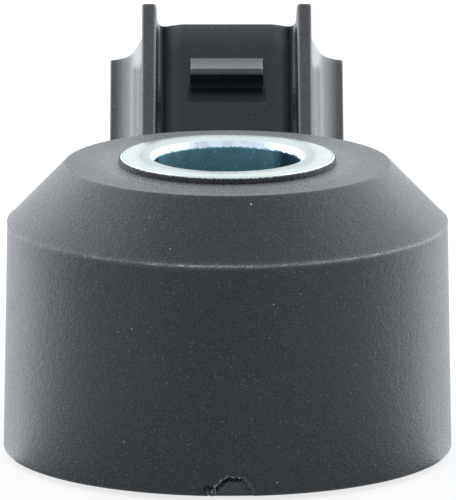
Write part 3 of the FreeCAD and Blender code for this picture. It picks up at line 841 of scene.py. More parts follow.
@dataclass
class Barrel:
    """The round part of the housing: drafted wall, parting edge, cone, top and the hollow for the stack."""

    bottom: float = 0.3
    base_radius: float = 12.9
    shoulder_height: float = 13.6
    draft: float = 1.1
    top: float = 17.0
    top_radius: float = 9.35
    base_round: float = 0.22
    top_round: float = 0.12
    parting_round: float = 0.05
    neck_radius: float = 6.15
    neck_round: float = 0.06
    foot_radius: float = 10.5
    hollow: tuple[Point, ...] = (
        (7.0, 15.0), (7.0, 14.7), (10.45, 14.7), (10.45, 12.1), (10.1, 12.1), (10.1, 3.2), (10.5, 3.2),
    )
    mark_top: float = 2.0
    mark_step: float = 0.055
    wall_step: float = 0.7
    face_step: float = 0.8
    parting_wear: Point = (1.5, 0.13)
    rim_wear: Point = (0.35, 0.1)
    foot_wear: Point = (1.05, 0.12)
    columns: int = 400
    fine_reach: float = 7.2
    fine_step: float = 0.2
    gate: GateMark = field(default_factory=GateMark)

    def wall_radius(self, height: float) -> float:
        """Radius of the drafted wall at a height."""
        return self.base_radius - (height - self.bottom) * math.tan(math.radians(self.draft))

    @property
    def shoulder_radius(self) -> float:
        """Radius of the parting edge."""
        return self.wall_radius(self.shoulder_height)

    def radius_at(self, height: float) -> float:
        """Radius of the outside at a height."""
        if height <= self.shoulder_height:
            return self.wall_radius(height)
        share = (height - self.shoulder_height) / (self.top - self.shoulder_height)
        return self.shoulder_radius + (self.top_radius - self.shoulder_radius) * share

    def outline(self) -> list[Point]:
        """Give the closed outline of the turned shell, from the foot up the outside and down the hollow."""
        corners = [
            (self.foot_radius, self.bottom, 0.0),
            (self.base_radius, self.bottom, self.base_round),
            (self.shoulder_radius, self.shoulder_height, self.parting_round),
            (self.top_radius, self.top, self.top_round),
            (self.neck_radius, self.top, self.neck_round),
        ]
        hollow = [(self.neck_radius, self.hollow[0][1]), *self.hollow]
        return rounded_outline(corners + [(radius, height, 0.0) for radius, height in hollow], 5)

    def rows(self) -> list[Point]:
        """Give the outline with more rows where the wall carries the gate mark and on its long sides."""
        outline = self.outline()
        rows: list[Point] = []
        for start, end in zip(outline, outline[1:] + outline[:1]):
            length = math.dist(start, end)
            if min(start[0], end[0]) > self.gate.wall and start[1] < self.shoulder_height and length > 3:
                foot, head = start[1], end[1]
                heights = [foot, foot + 0.03, *np.arange(foot + 0.06, self.mark_top, self.mark_step)]
                heights += [*np.arange(self.mark_top + 0.3, head - 0.2, self.wall_step)]
                shares = [(z - foot) / (head - foot) for z in heights + [head - 0.3, head - 0.18, head - 0.06]]
            elif length > 1.0:
                steps = max(3, int(length / self.face_step))
                shares = [0.0, 0.03, 0.08] + [step / steps for step in range(1, steps)] + [0.97]
            else:
                shares = [0.0]
            rows += [(start[0] + (end[0] - start[0]) * s, start[1] + (end[1] - start[1]) * s) for s in shares]
        return rows

    def angles(self) -> np.ndarray:
        """Give the column angles in radians, closer together round the gate mark at the front."""
        fine = np.arange(-self.fine_reach, self.fine_reach, self.fine_step)
        step = 360.0 / self.columns
        coarse = np.arange(self.fine_reach, 360.0 - self.fine_reach - step / 4, step)
        return np.radians(np.concatenate([fine, coarse])) + FRONT

    def wear(self, spots: np.ndarray) -> np.ndarray:
        """Give how worn each place of the shell is, with a painted highlight over the top face.

        Args:
            spots: Places in millimetres.

        Returns:
            Wear, where 1 is a plainly paler edge and more is torn.
        """
        side, height = spots[:, 0], spots[:, 2]
        out = np.hypot(side, spots[:, 1])
        along = (np.arctan2(spots[:, 1], side) - FRONT) * out
        edges = (
            (self.shoulder_radius, self.shoulder_height, self.parting_wear),
            (self.top_radius, self.top, self.rim_wear),
            (self.base_radius, self.bottom, self.foot_wear),
        )
        parting, rim, foot = (worn * peak(np.hypot(out - r, height - z), width) for r, z, (worn, width) in edges)
        on_top = (height > self.top - 0.01) & (out < self.top_radius)
        near = self.gate.near(along, out, height)
        return np.maximum.reduce([
            parting * (0.72 + 0.28 * grown(side + 6.5, 2.5)),
            rim,
            foot,
            # Partly real scuffs, partly painted highlight: the up-facing top face is lightened, more towards the neck.
            on_top * (1.0 + 0.22 * grown(8.6 - out, 1.6)),
            np.where(near, self.gate.wear(along, height), 0.0),
        ])

    def build(self) -> Piece:
        """Make the turned shell with its gate mark."""
        angles = self.angles()
        points = turned_points(self.rows(), angles)
        heights = points[:, :, 2]
        radii = np.hypot(points[:, :, 0], points[:, :, 1])
        along = (angles - FRONT) * radii
        relief = np.where(self.gate.near(along, radii, heights), self.gate.relief(along, heights), 0.0)
        points[:, :, :2] += relief[:, :, None] * np.stack([np.cos(angles), np.sin(angles)], axis=1)
        made = turned_object("barrel_shell", points)
        store(made, Mark.WORN, self.wear(places(made)))
        return made


def ragged_band_tree() -> Tree:
    """Build the Geometry Nodes tree of a closed ring round the bolt axis with a ragged upper edge."""
    tree = bpy.data.node_groups.new("ragged_band", "GeometryNodeTree")
    kinds = dict.fromkeys(FlashBand.INPUTS, "Float") | {"Columns": "Int", "Material": "Material"}
    for label, kind in kinds.items():
        tree.interface.new_socket(label, in_out="INPUT", socket_type="NodeSocket" + kind)
    tree.interface.new_socket("Geometry", in_out="OUTPUT", socket_type="NodeSocketGeometry")
    nodes = Sockets(tree)
    given = nodes.named(nodes.add("NodeGroupInput"))
    size = {"Size X": 1.0, "Size Y": 1.0, "Vertices X": given["Columns"], "Vertices Y": 9}
    sheet = nodes.first("GeometryNodeMeshGrid", size)
    x, y, _ = nodes.split(nodes.first("GeometryNodeInputPosition"))
    turn, roll = (x + 0.5) * TURN, (y + 0.5) * TURN
    cosine, sine = nodes.math("COSINE", turn), nodes.math("SINE", turn)
    reach = given["Radius"] / given["Tooth Size"]
    uneven = nodes.noise(nodes.vector(cosine * reach, sine * reach, given["Seed"]), 1.0, 3.0, 0.65)
    ragged = ((uneven - 0.5) * (given["Raggedness"] * 3.0) + 1.0).most(0.1)
    waves = [nodes.math("COSINE", roll), nodes.math("SINE", roll)]
    boxed = [nodes.math("SIGN", wave) * abs(wave) ** 0.55 for wave in waves]
    radius = given["Radius"] + given["Band Width"] * 0.5 * boxed[0] * (ragged * 0.4 + 0.6)
    lift = given["Band Height"] * ragged * (boxed[1] * 0.5 + 0.5)
    goal = nodes.vector(cosine * radius, sine * radius, given["Height"] + lift)
    bent = nodes.first("GeometryNodeSetPosition", {"Geometry": sheet, "Position": goal})
    closed = nodes.first("GeometryNodeMergeByDistance", {"Geometry": bent, "Distance": 1e-7})
    worn = {"Geometry": closed, "Name": Mark.WORN.value, "Value": given["Wear"] * ragged}
    stored = nodes.first("GeometryNodeStoreNamedAttribute", worn, data_type="FLOAT", domain="POINT")
    real = nodes.first("GeometryNodeRealizeInstances", {"Geometry": stored})
    done = nodes.first("GeometryNodeSetMaterial", {"Geometry": real, "Material": given["Material"]})
    nodes.add("NodeGroupOutput", {"Geometry": done})
    return tree


@dataclass(frozen=True)
class FlashBand:
    """Thin ragged rings of plastic, used for flash squeezed out of the mould and for a dark collar that stands in for
    shade.
    """

    INPUTS = ("Radius", "Height", "Band Width", "Band Height", "Tooth Size", "Raggedness", "Seed", "Wear")
    LENGTHS = INPUTS[:5]

    name: str
    radius: float
    height: float
    band_width: float
    band_height: float
    raggedness: float
    tooth_size: float
    seed: float
    wear: float
    columns: int = 1441

    def build(self, tree: Tree, material: bpy.types.Material) -> Piece:
        """Make the ring as a plain closed mesh.

        Args:
            tree: The tree from ragged_band_tree.
            material: Material that the tree sets.

        Returns:
            The ring, not yet dressed.
        """
        values = {"Columns": self.columns, "Material": material}
        for label in self.INPUTS:
            values[label] = getattr(self, label.lower().replace(" ", "_")) * (MM if label in self.LENGTHS else 1.0)
        piece = linked(self.name, bpy.data.meshes.new(self.name))
        modifier = piece.modifiers.new("ragged_band", "NODES")
        modifier.node_group = tree
        for item in tree.interface.items_tree:
            if item.in_out == "INPUT":
                modifier[item.identifier] = values[item.name]
        evaluated = piece.evaluated_get(bpy.context.evaluated_depsgraph_get())
        mesh = bpy.data.meshes.new_from_object(evaluated)
        piece.modifiers.clear()
        piece.data = mesh
        clean(mesh, 1e-7)
        return piece


# Name, radius, height, band width, band height, raggedness, tooth size, seed and wear
FLASHES: tuple[FlashBand, ...] = (
    FlashBand("parting_flash", 12.634, 13.575, 0.045, 0.045, 0.9, 0.10, 3.0, 1.05),
    # The neck ring is a dark collar put where the shade under the bush's bright ring falls.
    FlashBand("neck_flash", 6.190, 16.95, 0.10, 0.370, 0.20, 0.14, 8.0, 0.0),
)


@dataclass
class PlugSocket:
    """The slanted plug socket: panel, guard ribs, concave haunches, box, lock tab, cavity and its root."""

    tilt: float = 30.0
    mouth: tuple[float, float, float] = (0.0, 27.592, 15.700)
    roof: float = 5.25
    floor: float = -4.1
    half_width: float = 6.89
    flat_half: float = 2.66
    channel_depth: float = 0.17
    rib_outer: float = 5.0
    rib_width: float = 0.91
    rib_height: float = 1.59
    rib_root: float = 0.42
    rib_inner_round: float = 0.22
    rib_outer_round: float = 0.15
    panel_stops: tuple[float, ...] = (0.0, 0.5, 1.0, 1.5, 1.9)
    panel_edge: tuple[Point, ...] = ((2.74, 0.012), (2.95, 0.045), (3.2, 0.09), (3.45, 0.145))
    side_levels: tuple[float, ...] = (1.6, 0.8, 0.0, -0.8, -1.6)
    floor_stops: tuple[float, ...] = (4.6, 3.6, 2.6, 1.6, 0.8, 0.0)
    front_depths: tuple[float, ...] = (0.4, 0.9, 1.6, 2.4)
    pocket_depths: tuple[float, ...] = (5.8, 6.2, 6.5, 6.7, 6.9, 7.1, 7.3)
    back_depths: tuple[float, ...] = (8.0, 9.0, 10.0, 11.0, 12.0)
    haunch: tuple[Point, ...] = (
        (0.00, 0.80), (0.01, 0.95), (0.035, 1.09), (0.075, 1.24), (0.13, 1.38), (0.205, 1.55), (0.28, 1.71),
        (0.36, 1.865), (0.44, 2.03), (0.53, 2.19), (0.64, 2.35), (0.80, 2.50), (1.02, 2.63), (1.30, 2.735),
        (1.55, 2.79),
    )
    ledge_drop: float = 2.82
    ledge_round: float = 0.12
    box_round: float = 1.5
    cavity_width: float = 11.0
    cavity_height: float = 6.2
    cavity_round: float = 2.6
    cavity_depth: float = 11.0
    cavity_foot: float = 0.25
    lead_in: float = 0.3
    lead_slope: float = 0.8
    mouth_round: float = 0.05
    tab_half: float = 2.15
    tab_height: float = 0.80
    tab_side_round: float = 0.09
    mouth_wear: Point = (0.3, 0.2)
    crest_wear: Point = (0.2, 0.12)
    # Painted highlights: the tab's ramp (partly real wear) and the sideways-lit haunches are lightened.
    tab_wear: float = 0.45
    haunch_wear: float = 0.95
    tab_crest_round: float = 0.12
    ramp_start: float = 3.08
    ramp_end: float = 4.94
    lock_face: float = 5.41
    recess_end: float = 7.5
    recess_depth: float = 0.045
    recess_margin: float = 0.06
    recess_fade: float = 0.9
    root_fillet: float = 0.3
    root_burial: float = 0.45
    root_end: tuple[float, float, float] = (0.0, 11.4, 7.2)
    barrel: Barrel = field(default_factory=Barrel)

    @property
    def axis(self) -> np.ndarray:
        """Direction in which the socket points."""
        turn = math.radians(self.tilt)
        return np.array([0.0, math.cos(turn), math.sin(turn)])

    @property
    def upward(self) -> np.ndarray:
        """Direction square to the pin axis and to X."""
        turn = math.radians(self.tilt)
        return np.array([0.0, -math.sin(turn), math.cos(turn)])

    @property
    def rib_inner(self) -> float:
        """Distance from the middle to a rib's inner side."""
        return self.rib_outer - self.rib_width

    def place(self, across: float, level: float, depth: float) -> np.ndarray:
        """Give the place of a point by its X, its level off the pin axis and its distance in from the mouth."""
        return np.array(self.mouth) + self.upward * level - self.axis * depth + np.array([across, 0.0, 0.0])

    def loop(self, section: Sequence[Point], depths: float | Sequence[float]) -> np.ndarray:
        """Give the places of a section's points, at one depth or at one for each point."""
        depths = np.broadcast_to(depths, len(section))
        return np.array([self.place(x, y, depth) for (x, y), depth in zip(section, depths)])

    def right_side(self) -> list[Point]:
        """Give the right half of the section, from the middle of the roof to the middle of the underside."""
        channel = self.roof - self.channel_depth
        crest = self.roof + self.rib_height
        ledge = self.roof - self.ledge_drop
        tab, margin = self.tab_half, self.tab_half + self.recess_margin
        tab_edge = (tab - 0.09, tab - 0.045, tab - 0.012, tab + 0.008, margin - 0.012, margin + 0.008)
        points = [(x, self.roof) for x in (*self.panel_stops, *tab_edge, 2.4, self.flat_half - 0.08)]
        points += [(x, self.roof - down) for x, down in self.panel_edge]
        points += arc((self.rib_inner - self.rib_root, channel + self.rib_root), self.rib_root, -90, 0, 8)
        points += [(self.rib_inner + 0.02, channel + 0.7), (self.rib_inner + 0.05, crest - 0.3)]
        inner, outer = self.rib_inner_round, self.rib_outer_round
        points += arc((self.rib_inner + 0.06 + inner, crest - inner), inner, 180, 90, 6)
        points += arc((self.rib_outer - outer, crest - outer), outer, 90, 0, 6)
        points += [(self.rib_outer, crest - 0.6), (self.rib_outer, self.roof - 0.3)]
        points += [(self.rib_outer + out, self.roof - down) for out, down in self.haunch]
        points += arc((self.half_width - self.ledge_round, ledge - self.ledge_round), self.ledge_round, 86, 0, 6)
        points += [(self.half_width, y) for y in self.side_levels]
        points += arc((self.half_width - self.box_round, self.floor + self.box_round), self.box_round, 0, -90, 10)
        return points + [(x, self.floor) for x in self.floor_stops]

    def section(self) -> np.ndarray:
        """Give the closed section, right side down and left side up."""
        right = self.right_side()
        return np.array(right + [(-x, y) for x, y in reversed(right[1:-1])])

    @staticmethod
    def outward(section: np.ndarray) -> np.ndarray:
        """Give the outward direction at each point of a section that runs clockwise."""
        along = np.roll(section, -1, axis=0) - np.roll(section, 1, axis=0)
        along /= np.linalg.norm(along, axis=1)[:, None]
        return np.stack([-along[:, 1], along[:, 0]], axis=1)

    def depths(self) -> list[float]:
        """Give the depths of the rows that are the same all round, from behind the mouth's round edge."""
        ramp = np.linspace(self.ramp_start, self.ramp_end, 8)
        turns = np.radians((0, 20, 40, 60, 80))
        crest = self.lock_face - self.tab_crest_round * (1 - np.sin(turns))
        face = (self.lock_face - 0.003, self.lock_face + 0.008)
        rows = [*self.front_depths, self.ramp_start - 0.05, *ramp, self.ramp_end + 0.05, self.ramp_end + 0.2]
        return rows + [*crest, *face, *self.pocket_depths, self.recess_end, *self.back_depths]

    @staticmethod
    def _rounded_off(past: float, radius: float) -> float:
        """Give how far a round edge has dropped at a distance past its start."""
        return radius - math.sqrt(max(radius**2 - max(past, 0.0) ** 2, 0.0))

    def tab_relief(self, across: float, depth: float) -> float:
        """Give the height of the lock tab or of the recess behind it over the panel.

        Args:
            across: X of the point.
            depth: Distance in from the mouth.

        Returns:
            Height in millimetres, negative in the recess.
        """
        side = abs(across)
        if depth >= self.lock_face:
            if side >= self.tab_half + self.recess_margin or depth >= self.recess_end:
                return 0.0
            share = min(1.0, (self.recess_end - depth) / self.recess_fade)
            return -self.recess_depth * share * share * (3 - 2 * share)
        if side > self.tab_half or depth <= self.ramp_start:
            return 0.0
        height = self.tab_height * min(1.0, (depth - self.ramp_start) / (self.ramp_end - self.ramp_start))
        height -= self._rounded_off(depth - self.lock_face + self.tab_crest_round, self.tab_crest_round)
        return height - min(height, self._rounded_off(side - self.tab_half + self.tab_side_round, self.tab_side_round))

    def depth_at_barrel(self, across: float, level: float) -> float:
        """Find how far in from the mouth a line of the socket meets the round wall."""
        low, high = 5.0, 24.0
        for _ in range(50):
            middle = (low + high) / 2
            x, y, z = self.place(across, level, middle)
            low, high = (middle, high) if math.hypot(x, y) > self.barrel.radius_at(z) else (low, middle)
        return (low + high) / 2

    def root_rows(self, section: np.ndarray) -> list[np.ndarray]:
        """Give the rows from the last common depth to the fillet on the round wall and on into it.

        Args:
            section: The socket's section.

        Returns:
            The rows of places.
        """
        meets = np.array([self.depth_at_barrel(x, y) for x, y in section])
        start = self.depths()[-1]
        shares = (0.2, 0.4, 0.6, 0.8, 0.93, 1.0)
        rows = [self.loop(section, start + (meets - self.root_fillet - start) * share) for share in shares]
        hits = self.loop(section, meets)
        radial = hits * np.array([1.0, 1.0, 0.0])
        radial /= np.linalg.norm(radial, axis=1)[:, None]
        away = np.cross(radial, np.roll(hits, -1, axis=0) - np.roll(hits, 1, axis=0))
        away /= np.linalg.norm(away, axis=1)[:, None]
        outward = self.outward(section)
        outward = outward[:, :1] * np.array([1.0, 0, 0]) + outward[:, 1:] * self.upward
        far = hits + away * np.sign(np.sum(away * outward, axis=1))[:, None] * self.root_fillet
        for number, (x, y, z) in enumerate(far):
            far[number, :2] *= (self.barrel.radius_at(z) + 0.004) / math.hypot(x, y)
        near = rows[-1]
        for share in (0.25, 0.5, 0.75, 1.0):
            rows.append(near * (1 - share) ** 2 + hits * 2 * share * (1 - share) + far * share**2)
        return rows + [far - radial * self.root_burial]

    def outer_rows(self, section: np.ndarray) -> list[np.ndarray]:
        """Give all rows of the outside, from the mouth's round edge to inside the barrel."""
        rows = []
        for turn in np.radians((90, 65, 40, 20, 0)):
            ring = section - self.outward(section) * self.mouth_round * (1 - math.cos(turn))
            rows.append(self.loop(ring, self.mouth_round * (1 - math.sin(turn))))
        for depth in self.depths():
            raised = [(x, y + (self.tab_relief(x, depth) if abs(y - self.roof) < 1e-9 else 0.0)) for x, y in section]
            rows.append(self.loop(raised, depth))
        return rows + self.root_rows(section)

    def cavity_loop(self, grow: float) -> list[Point]:
        """Give the cavity's rounded section, grown or shrunk by an amount."""
        across, up = self.cavity_width / 2 + grow, self.cavity_height / 2 + grow
        corners = [(across, up), (across, -up), (-across, -up), (-across, up)]
        return rounded_outline([(x, y, self.cavity_round + grow) for x, y in corners], 12)

    def cavity_rows(self) -> list[np.ndarray]:
        """Give all rows of the cavity, from the mouth to its floor's round edge."""
        sides = [(0.0, self.lead_in * self.lead_slope), (self.lead_in, 0.0), (self.lead_in + 0.1, 0.0)]
        sides.append((self.cavity_depth / 2, 0.0))
        for turn in np.radians((0, 30, 60, 90)):
            drop, inset = self.cavity_foot * (1 - math.sin(turn)), self.cavity_foot * (1 - math.cos(turn))
            sides.append((self.cavity_depth - drop, -inset))
        return [self.loop(self.cavity_loop(grow), depth) for depth, grow in sides]

    def build(self) -> Piece:
        """Make the closed shell of the socket."""
        section = self.section()
        points: list[np.ndarray] = []
        faces: list[tuple[int, ...]] = []
        starts = []
        middles = (np.array(self.root_end), self.place(0.0, 0.0, self.cavity_depth))
        for rows, middle in zip((self.outer_rows(section), self.cavity_rows()), middles):
            first, count = len(points), len(rows[0])
            starts.append(first)
            points += [*np.concatenate(rows), middle]
            faces += [tuple(first + n for n in face) for face in ring_faces(len(rows), count)]
            last, centre = first + (len(rows) - 1) * count, len(points) - 1
            faces += [(last + n, last + (n + 1) % count, centre) for n in range(count)]
        rim = [Vector((x, y, 0)) for x, y in section - self.outward(section) * self.mouth_round]
        hole = [Vector((x, y, 0)) for x, y in self.cavity_loop(self.lead_in * self.lead_slope)]
        for triangle in tessellate_polygon([rim, hole]):
            faces.append(tuple(n if n < len(rim) else starts[1] + n - len(rim) for n in triangle))
        made = new_object("socket_shell", np.array(points), faces)
        self._mark(made)
        return made

    def _mark(self, made: Piece) -> None:
        """Store the wear and the gloss of each point of the socket's shell."""
        spots = places(made) - np.array(self.mouth)
        depth, level, across = -(spots @ self.axis), spots @ self.upward, np.abs(spots[:, 0])
        store(made, Mark.WORN, self._wear(across, level, depth))
        store(made, Mark.FINE, np.ones(len(spots)))
        store(made, Mark.GLOSS, self._gloss(across, level, depth))

    def _on_haunch(self, level: np.ndarray, fade: float) -> np.ndarray:
        """Give how far below a rib's foot each level lies, and 0 below the ledge."""
        return grown(self.roof - 0.2 - level, fade) * (level > self.roof - self.ledge_drop + 0.02)

    def _wear(self, across: np.ndarray, level: np.ndarray, depth: np.ndarray) -> np.ndarray:
        """Give how worn each point is, with painted highlights on the haunches and the lock tab's ramp.

        Args:
            across: Distance from the middle of the socket.
            level: Level off the pin axis.
            depth: Distance in from the mouth.

        Returns:
            Wear, where 1 is a plainly paler edge.
        """
        tab = (across < self.tab_half + 0.02) & (depth > self.ramp_start) & (depth < self.ramp_end + 0.02)
        outer = grown(self.rib_outer + 1.7 - across, 1.3) * (across > self.rib_outer - 0.01)
        return np.maximum.reduce([
            self.mouth_wear[0] * peak(depth, self.mouth_wear[1]),
            self.crest_wear[0] * peak(level - self.roof - self.rib_height, self.crest_wear[1]),
            # Partly real wear, partly painted highlight on the lock tab's up-facing ramp.
            self.tab_wear * tab * (level > self.roof + 0.1),
            # Painted highlight on the sideways-lit haunches.
            self.haunch_wear * outer * self._on_haunch(level, 0.6),
        ])

    def _gloss(self, across: np.ndarray, level: np.ndarray, depth: np.ndarray) -> np.ndarray:
        """Give each point's painted shade (down to -1), beside the ribs, along the panel and in the pocket, and its
        polish (up to 1).

        Args:
            across: Distance from the middle of the socket.
            level: Level off the pin axis.
            depth: Distance in from the mouth.

        Returns:
            The painted shade as negative values and the polish as positive ones.
        """
        on_panel = (level < self.roof + 0.12) & (level > self.roof - 0.6) & (across < self.rib_inner - 0.14)
        beside_rib = 1.25 * grown(across - self.rib_inner + 1.2, 1.05) ** 1.2
        recess = (across < self.tab_half + self.recess_margin + 0.01) & (depth > self.lock_face)
        recess = recess & (level < self.roof + 0.02)
        sunk = 0.56 * recess * grown(self.recess_end - depth, 0.6)
        # Painted shade: darker deeper along the panel, beside the ribs and in the pocket behind the lock tab.
        painted_shade_amount = on_panel * np.maximum.reduce([0.42 * grown(depth - 0.1, 2.0), beside_rib, sunk])
        on_tab = (across < self.tab_half + 0.01) & (level > self.roof + 0.01) & (depth < self.ramp_end + 0.02)
        haunch = grown(self.half_width - 0.1 - across, 0.8) * (across > self.rib_outer - 0.01)
        haunch = haunch * self._on_haunch(level, 0.5)
        face = (across < self.tab_half + 0.01) & (np.abs(depth - self.lock_face) < 0.02) & (level > self.roof - 0.06)
        return np.select([face, on_tab & (depth > self.ramp_start), haunch > 0], [0.6, 0.72, haunch], -painted_shade_amount)


@dataclass
class Housing:
    """The one-piece moulding."""

    barrel: Barrel = field(default_factory=Barrel)
    socket: PlugSocket = field(default_factory=PlugSocket)

    def build(self, materials: Materials) -> None:
        """Make the moulding with the flash along its parting edge and the dark neck collar that stands in for shade.

        Args:
            materials: The material of each slot.
        """
        plastic = materials[Slot.PLASTIC]
        shells = [self.barrel.build(), self.socket.build()]
        tree = ragged_band_tree()
        moulding = joined("housing_moulding", shells + [flash.build(tree, plastic) for flash in FLASHES])
        sharpen(moulding, 32)
        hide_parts("moulded_housing")
        dress(moulding, plastic)


# ---- Metal and inner pieces ----


@dataclass
class Bush:
    """The plated steel bush whose upper end shows as the bright ring."""

    bore_radius: float = 4.2
    neck_radius: float = 6.15
    thread_radius: float = 7.0
    flange_radius: float = 10.5
    flange_thickness: float = 3.2
    top: float = 17.4
    thread_top: float = 15.0
    thread_chamfer: float = 0.25
    groove_depth: float = 0.35
    groove_length: float = 0.7
    chamfer_width: float = 0.25
    chamfer_depth: float = 0.4
    outer_bevel: float = 0.05
    flange_chamfer: float = 0.3
    edge_round: float = 0.05
    mouth_round: float = 0.02
    bevel_round: float = 0.012
    flange_fillet: float = 0.1
    columns: int = 480

    def outline(self) -> list[Point]:
        """Give the closed outline of radius and height."""
        mouth = self.bore_radius + self.chamfer_width
        groove = self.neck_radius - self.groove_depth
        low, high = self.thread_top + self.groove_length, self.thread_top + 2 * self.groove_length
        corners = [
            (mouth, 0.0, self.mouth_round),
            (self.flange_radius - self.flange_chamfer, 0.0, self.edge_round),
            (self.flange_radius, self.flange_chamfer, self.edge_round),
            (self.flange_radius, self.flange_thickness, self.edge_round),
            (self.thread_radius, self.flange_thickness, self.flange_fillet),
            (self.thread_radius, self.thread_top - self.thread_chamfer, 0.0),
            (self.thread_radius - self.thread_chamfer, self.thread_top, 0.0),
            (self.neck_radius, self.thread_top, self.edge_round),
            (self.neck_radius, low, 0.0),
            (groove, low, self.edge_round),
            (groove, high, self.edge_round),
            (self.neck_radius, high, 0.0),
            (self.neck_radius, self.top - self.outer_bevel, self.bevel_round),
            (self.neck_radius - self.outer_bevel, self.top, self.bevel_round),
            (mouth, self.top, self.mouth_round),
            (self.bore_radius, self.top - self.chamfer_depth, self.edge_round),
            (self.bore_radius, self.chamfer_depth, self.edge_round),
        ]
        return rounded_outline(corners, 3)

    def build(self, materials: Materials) -> None:
        """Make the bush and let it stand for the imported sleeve."""
        angles = np.linspace(0, TURN, self.columns, endpoint=False)
        made = turned_object("bolt_bush", turned_points(self.outline(), angles))
        sharpen(made, 25)
        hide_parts("pressure_sleeve")
        dress(made, materials[Slot.SLEEVE])


class InnerPieces:
    """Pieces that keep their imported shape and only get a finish."""

    NODES: dict[Slot, tuple[str, ...]] = {
        Slot.INSULATOR: ("lower_insulating_washer", "upper_insulating_washer", "insulating_tube"),
        Slot.BRASS: ("lower_contact_ring", "upper_contact_ring"),
        Slot.CERAMIC: ("piezo_ring",),
        Slot.MASS: ("seismic_mass",),
        Slot.SPRING: ("disc_spring",),
        Slot.NUT: ("clamp_nut",),
        Slot.TERMINAL: ("ground_terminal", "signal_terminal"),
        Slot.CHIP: ("shunt_resistor",),
        Slot.CAP: ("resistor_cap_left", "resistor_cap_right"),
        Slot.LEAD: ("resistor_lead_left", "resistor_lead_right"),
    }

    def build(self, nodes: dict[str, Piece], materials: Materials) -> None:
        """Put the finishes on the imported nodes.

        Args:
            nodes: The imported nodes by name.
            materials: The material of each slot.
        """
        for slot, names in self.NODES.items():
            for name in names:
                nodes[name].data.materials.clear()
                nodes[name].data.materials.append(materials[slot])
                LOG.info("%s: packed shape", name)


# ---- Studio ----


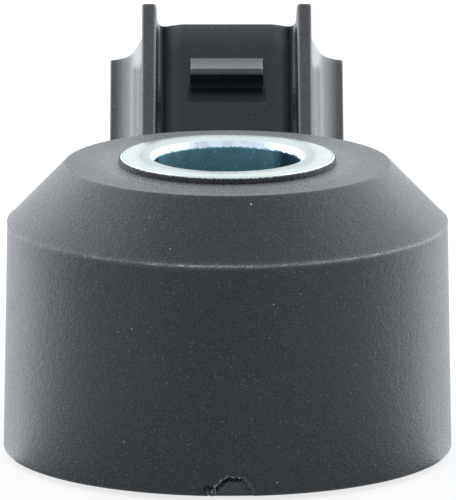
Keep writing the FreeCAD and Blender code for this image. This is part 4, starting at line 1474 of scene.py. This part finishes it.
@dataclass
class Studio:
    """White surroundings with two soft boxes, a pale floor and the camera."""

    image_width: float = 456.0
    image_height: float = 500.0
    sensor_width: float = 36.0
    scale: float = 13000.0
    elevation: float = 12.25
    azimuth: float = -0.12
    target_height: float = 8.64
    distance: float = 747.5
    target_column: float = 227.5
    target_row: float = 305.0
    base_level: float = 0.87
    back_gain: float = 0.13
    back_edge: Point = (0.2, 0.9)
    front_dip: float = 0.28
    front_edge: Point = (-0.99, -0.848)
    box_gain: float = 1.25
    box_direction: Colour = (0.77, 0.52, 0.36)
    box_edge: tuple[float, float] = (0.616, 0.914)
    tint: Colour = (0.947, 0.985, 1.035)
    white: Colour = (1.0, 1.0, 1.0)
    floor_radius: float = 0.6
    floor_albedo: float = 0.24
    floor_lift: float = 0.775
    floor_mottle: float = 18.0
    floor_slope: float = -0.15
    wall: Point = (0.012, -0.003)

    def glow(self, nodes: Sockets, given: Signals) -> Signals:
        """Build how bright the surroundings are in a direction."""
        x, y, z = nodes.split(given["Direction"])
        inputs = {0: nodes.vector(abs(x), y, z), 1: self.box_direction}
        match = nodes.named(nodes.add("ShaderNodeVectorMath", inputs, operation="DOT_PRODUCT"))["Value"]
        box = match.ramp(*self.box_edge, 0.0, self.box_gain)
        back = y.ramp(*self.back_edge, 0.0, self.back_gain)
        front = y.ramp(*self.front_edge, -self.front_dip, 0.0)
        return {"Strength": box + self.base_level + (back + front)}

    def _seen(self, tree: Tree) -> tuple[Sockets, Signal, Signal]:
        """Empty a tree, and give its helper, 1 where the camera looks, and the light's colour."""
        tree.nodes.clear()
        nodes = Sockets(tree)
        seen = nodes.named(nodes.add("ShaderNodeLightPath"))["Is Camera Ray"]
        return nodes, seen, nodes.mix(seen, tint(self.tint), tint(self.white))

    def add_floor(self, glow: Tree) -> None:
        """Add the pale floor that keeps the soft shadow.

        Args:
            glow: The group of the surroundings' brightness.
        """
        bpy.ops.mesh.primitive_circle_add(vertices=96, radius=self.floor_radius, fill_type="NGON", location=(0, 0, 0))
        floor = bpy.context.object
        floor.name = "studio_floor"
        material = bpy.data.materials.new("studio_floor_white")
        material.use_nodes = True
        nodes, seen, colour = self._seen(material.node_tree)
        place = nodes.named(nodes.add("ShaderNodeTexCoord"))["Object"]
        x, y, _ = nodes.split(place)
        side, behind = (abs(x) - self.wall[0]).most(0.0), y - self.wall[1]
        reach = nodes.math("SQRT", side**2.0 + behind**2.0)
        ray = nodes.vector(side, behind, reach * self.floor_slope)
        way = nodes.first("ShaderNodeVectorMath", {0: ray}, operation="NORMALIZE")
        level = nodes.first("ShaderNodeGroup", {"Direction": way}, node_tree=glow)
        rest = (level - self.floor_albedo).most(0.0)
        lift = rest * (1.0 - seen) + seen * self.floor_lift
        pale = (self.floor_albedo,) * 3
        mottled = nodes.mix(nodes.noise(place, self.floor_mottle), tint(pale), tint(pale, 1.02))
        white = nodes.first("ShaderNodeBsdfDiffuse", {"Color": mottled})
        shine = nodes.first("ShaderNodeEmission", {"Color": colour, "Strength": lift})
        nodes.add("ShaderNodeOutputMaterial", {"Surface": nodes.first("ShaderNodeAddShader", {0: white, 1: shine})})
        floor.data.materials.append(material)

    def add_world(self, glow: Tree) -> None:
        """Add the soft light from all round, plain white where the camera sees it.

        Args:
            glow: The group of the surroundings' brightness.
        """
        world = bpy.data.worlds.new("studio_white")
        bpy.context.scene.world = world
        world.use_nodes = True
        nodes, seen, colour = self._seen(world.node_tree)
        way = nodes.named(nodes.add("ShaderNodeTexCoord"))["Generated"]
        level = nodes.first("ShaderNodeGroup", {"Direction": way}, node_tree=glow)
        light = nodes.first("ShaderNodeBackground", {"Color": colour, "Strength": level * (1.0 - seen) + seen})
        nodes.add("ShaderNodeOutputWorld", {"Surface": light})

    def add_camera(self) -> None:
        """Add the camera at the photograph's viewing angle."""
        data = bpy.data.cameras.new("studio_camera")
        data.sensor_width = self.sensor_width
        data.lens = self.sensor_width * self.scale / max(self.image_width, self.image_height)
        data.clip_start, data.clip_end = 0.05, 10.0
        camera = linked("studio_camera", data)
        rise, swing = math.radians(self.elevation), math.radians(self.azimuth)
        reach = self.distance * math.cos(rise)
        height = self.target_height + self.distance * math.sin(rise)
        camera.location = Vector((reach * math.sin(swing), -reach * math.cos(swing), height)) * MM
        tilt = math.atan((self.target_row - self.image_height / 2) / self.scale)
        turn = math.atan((self.target_column - self.image_width / 2) / self.scale)
        camera.rotation_euler = (math.pi / 2 - rise + tilt, 0.0, turn + swing)
        bpy.context.scene.camera = camera

    def build(self) -> None:
        """Set up everything that isn't the object."""
        bpy.context.scene.view_settings.view_transform = "Standard"
        glow = shader_group("softbox_glow", {"Direction": None}, self.glow)
        self.add_floor(glow)
        self.add_world(glow)
        self.add_camera()


def main() -> None:
    """Build the studio and the sensor."""
    logging.basicConfig(level=logging.INFO, format="%(name)s %(message)s")
    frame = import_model()
    Studio().build()
    materials = all_materials()
    Housing().build(materials)
    Bush().build(materials)
    InnerPieces().build(frame["nodes"], materials)


if __name__ == "__main__":
    main()
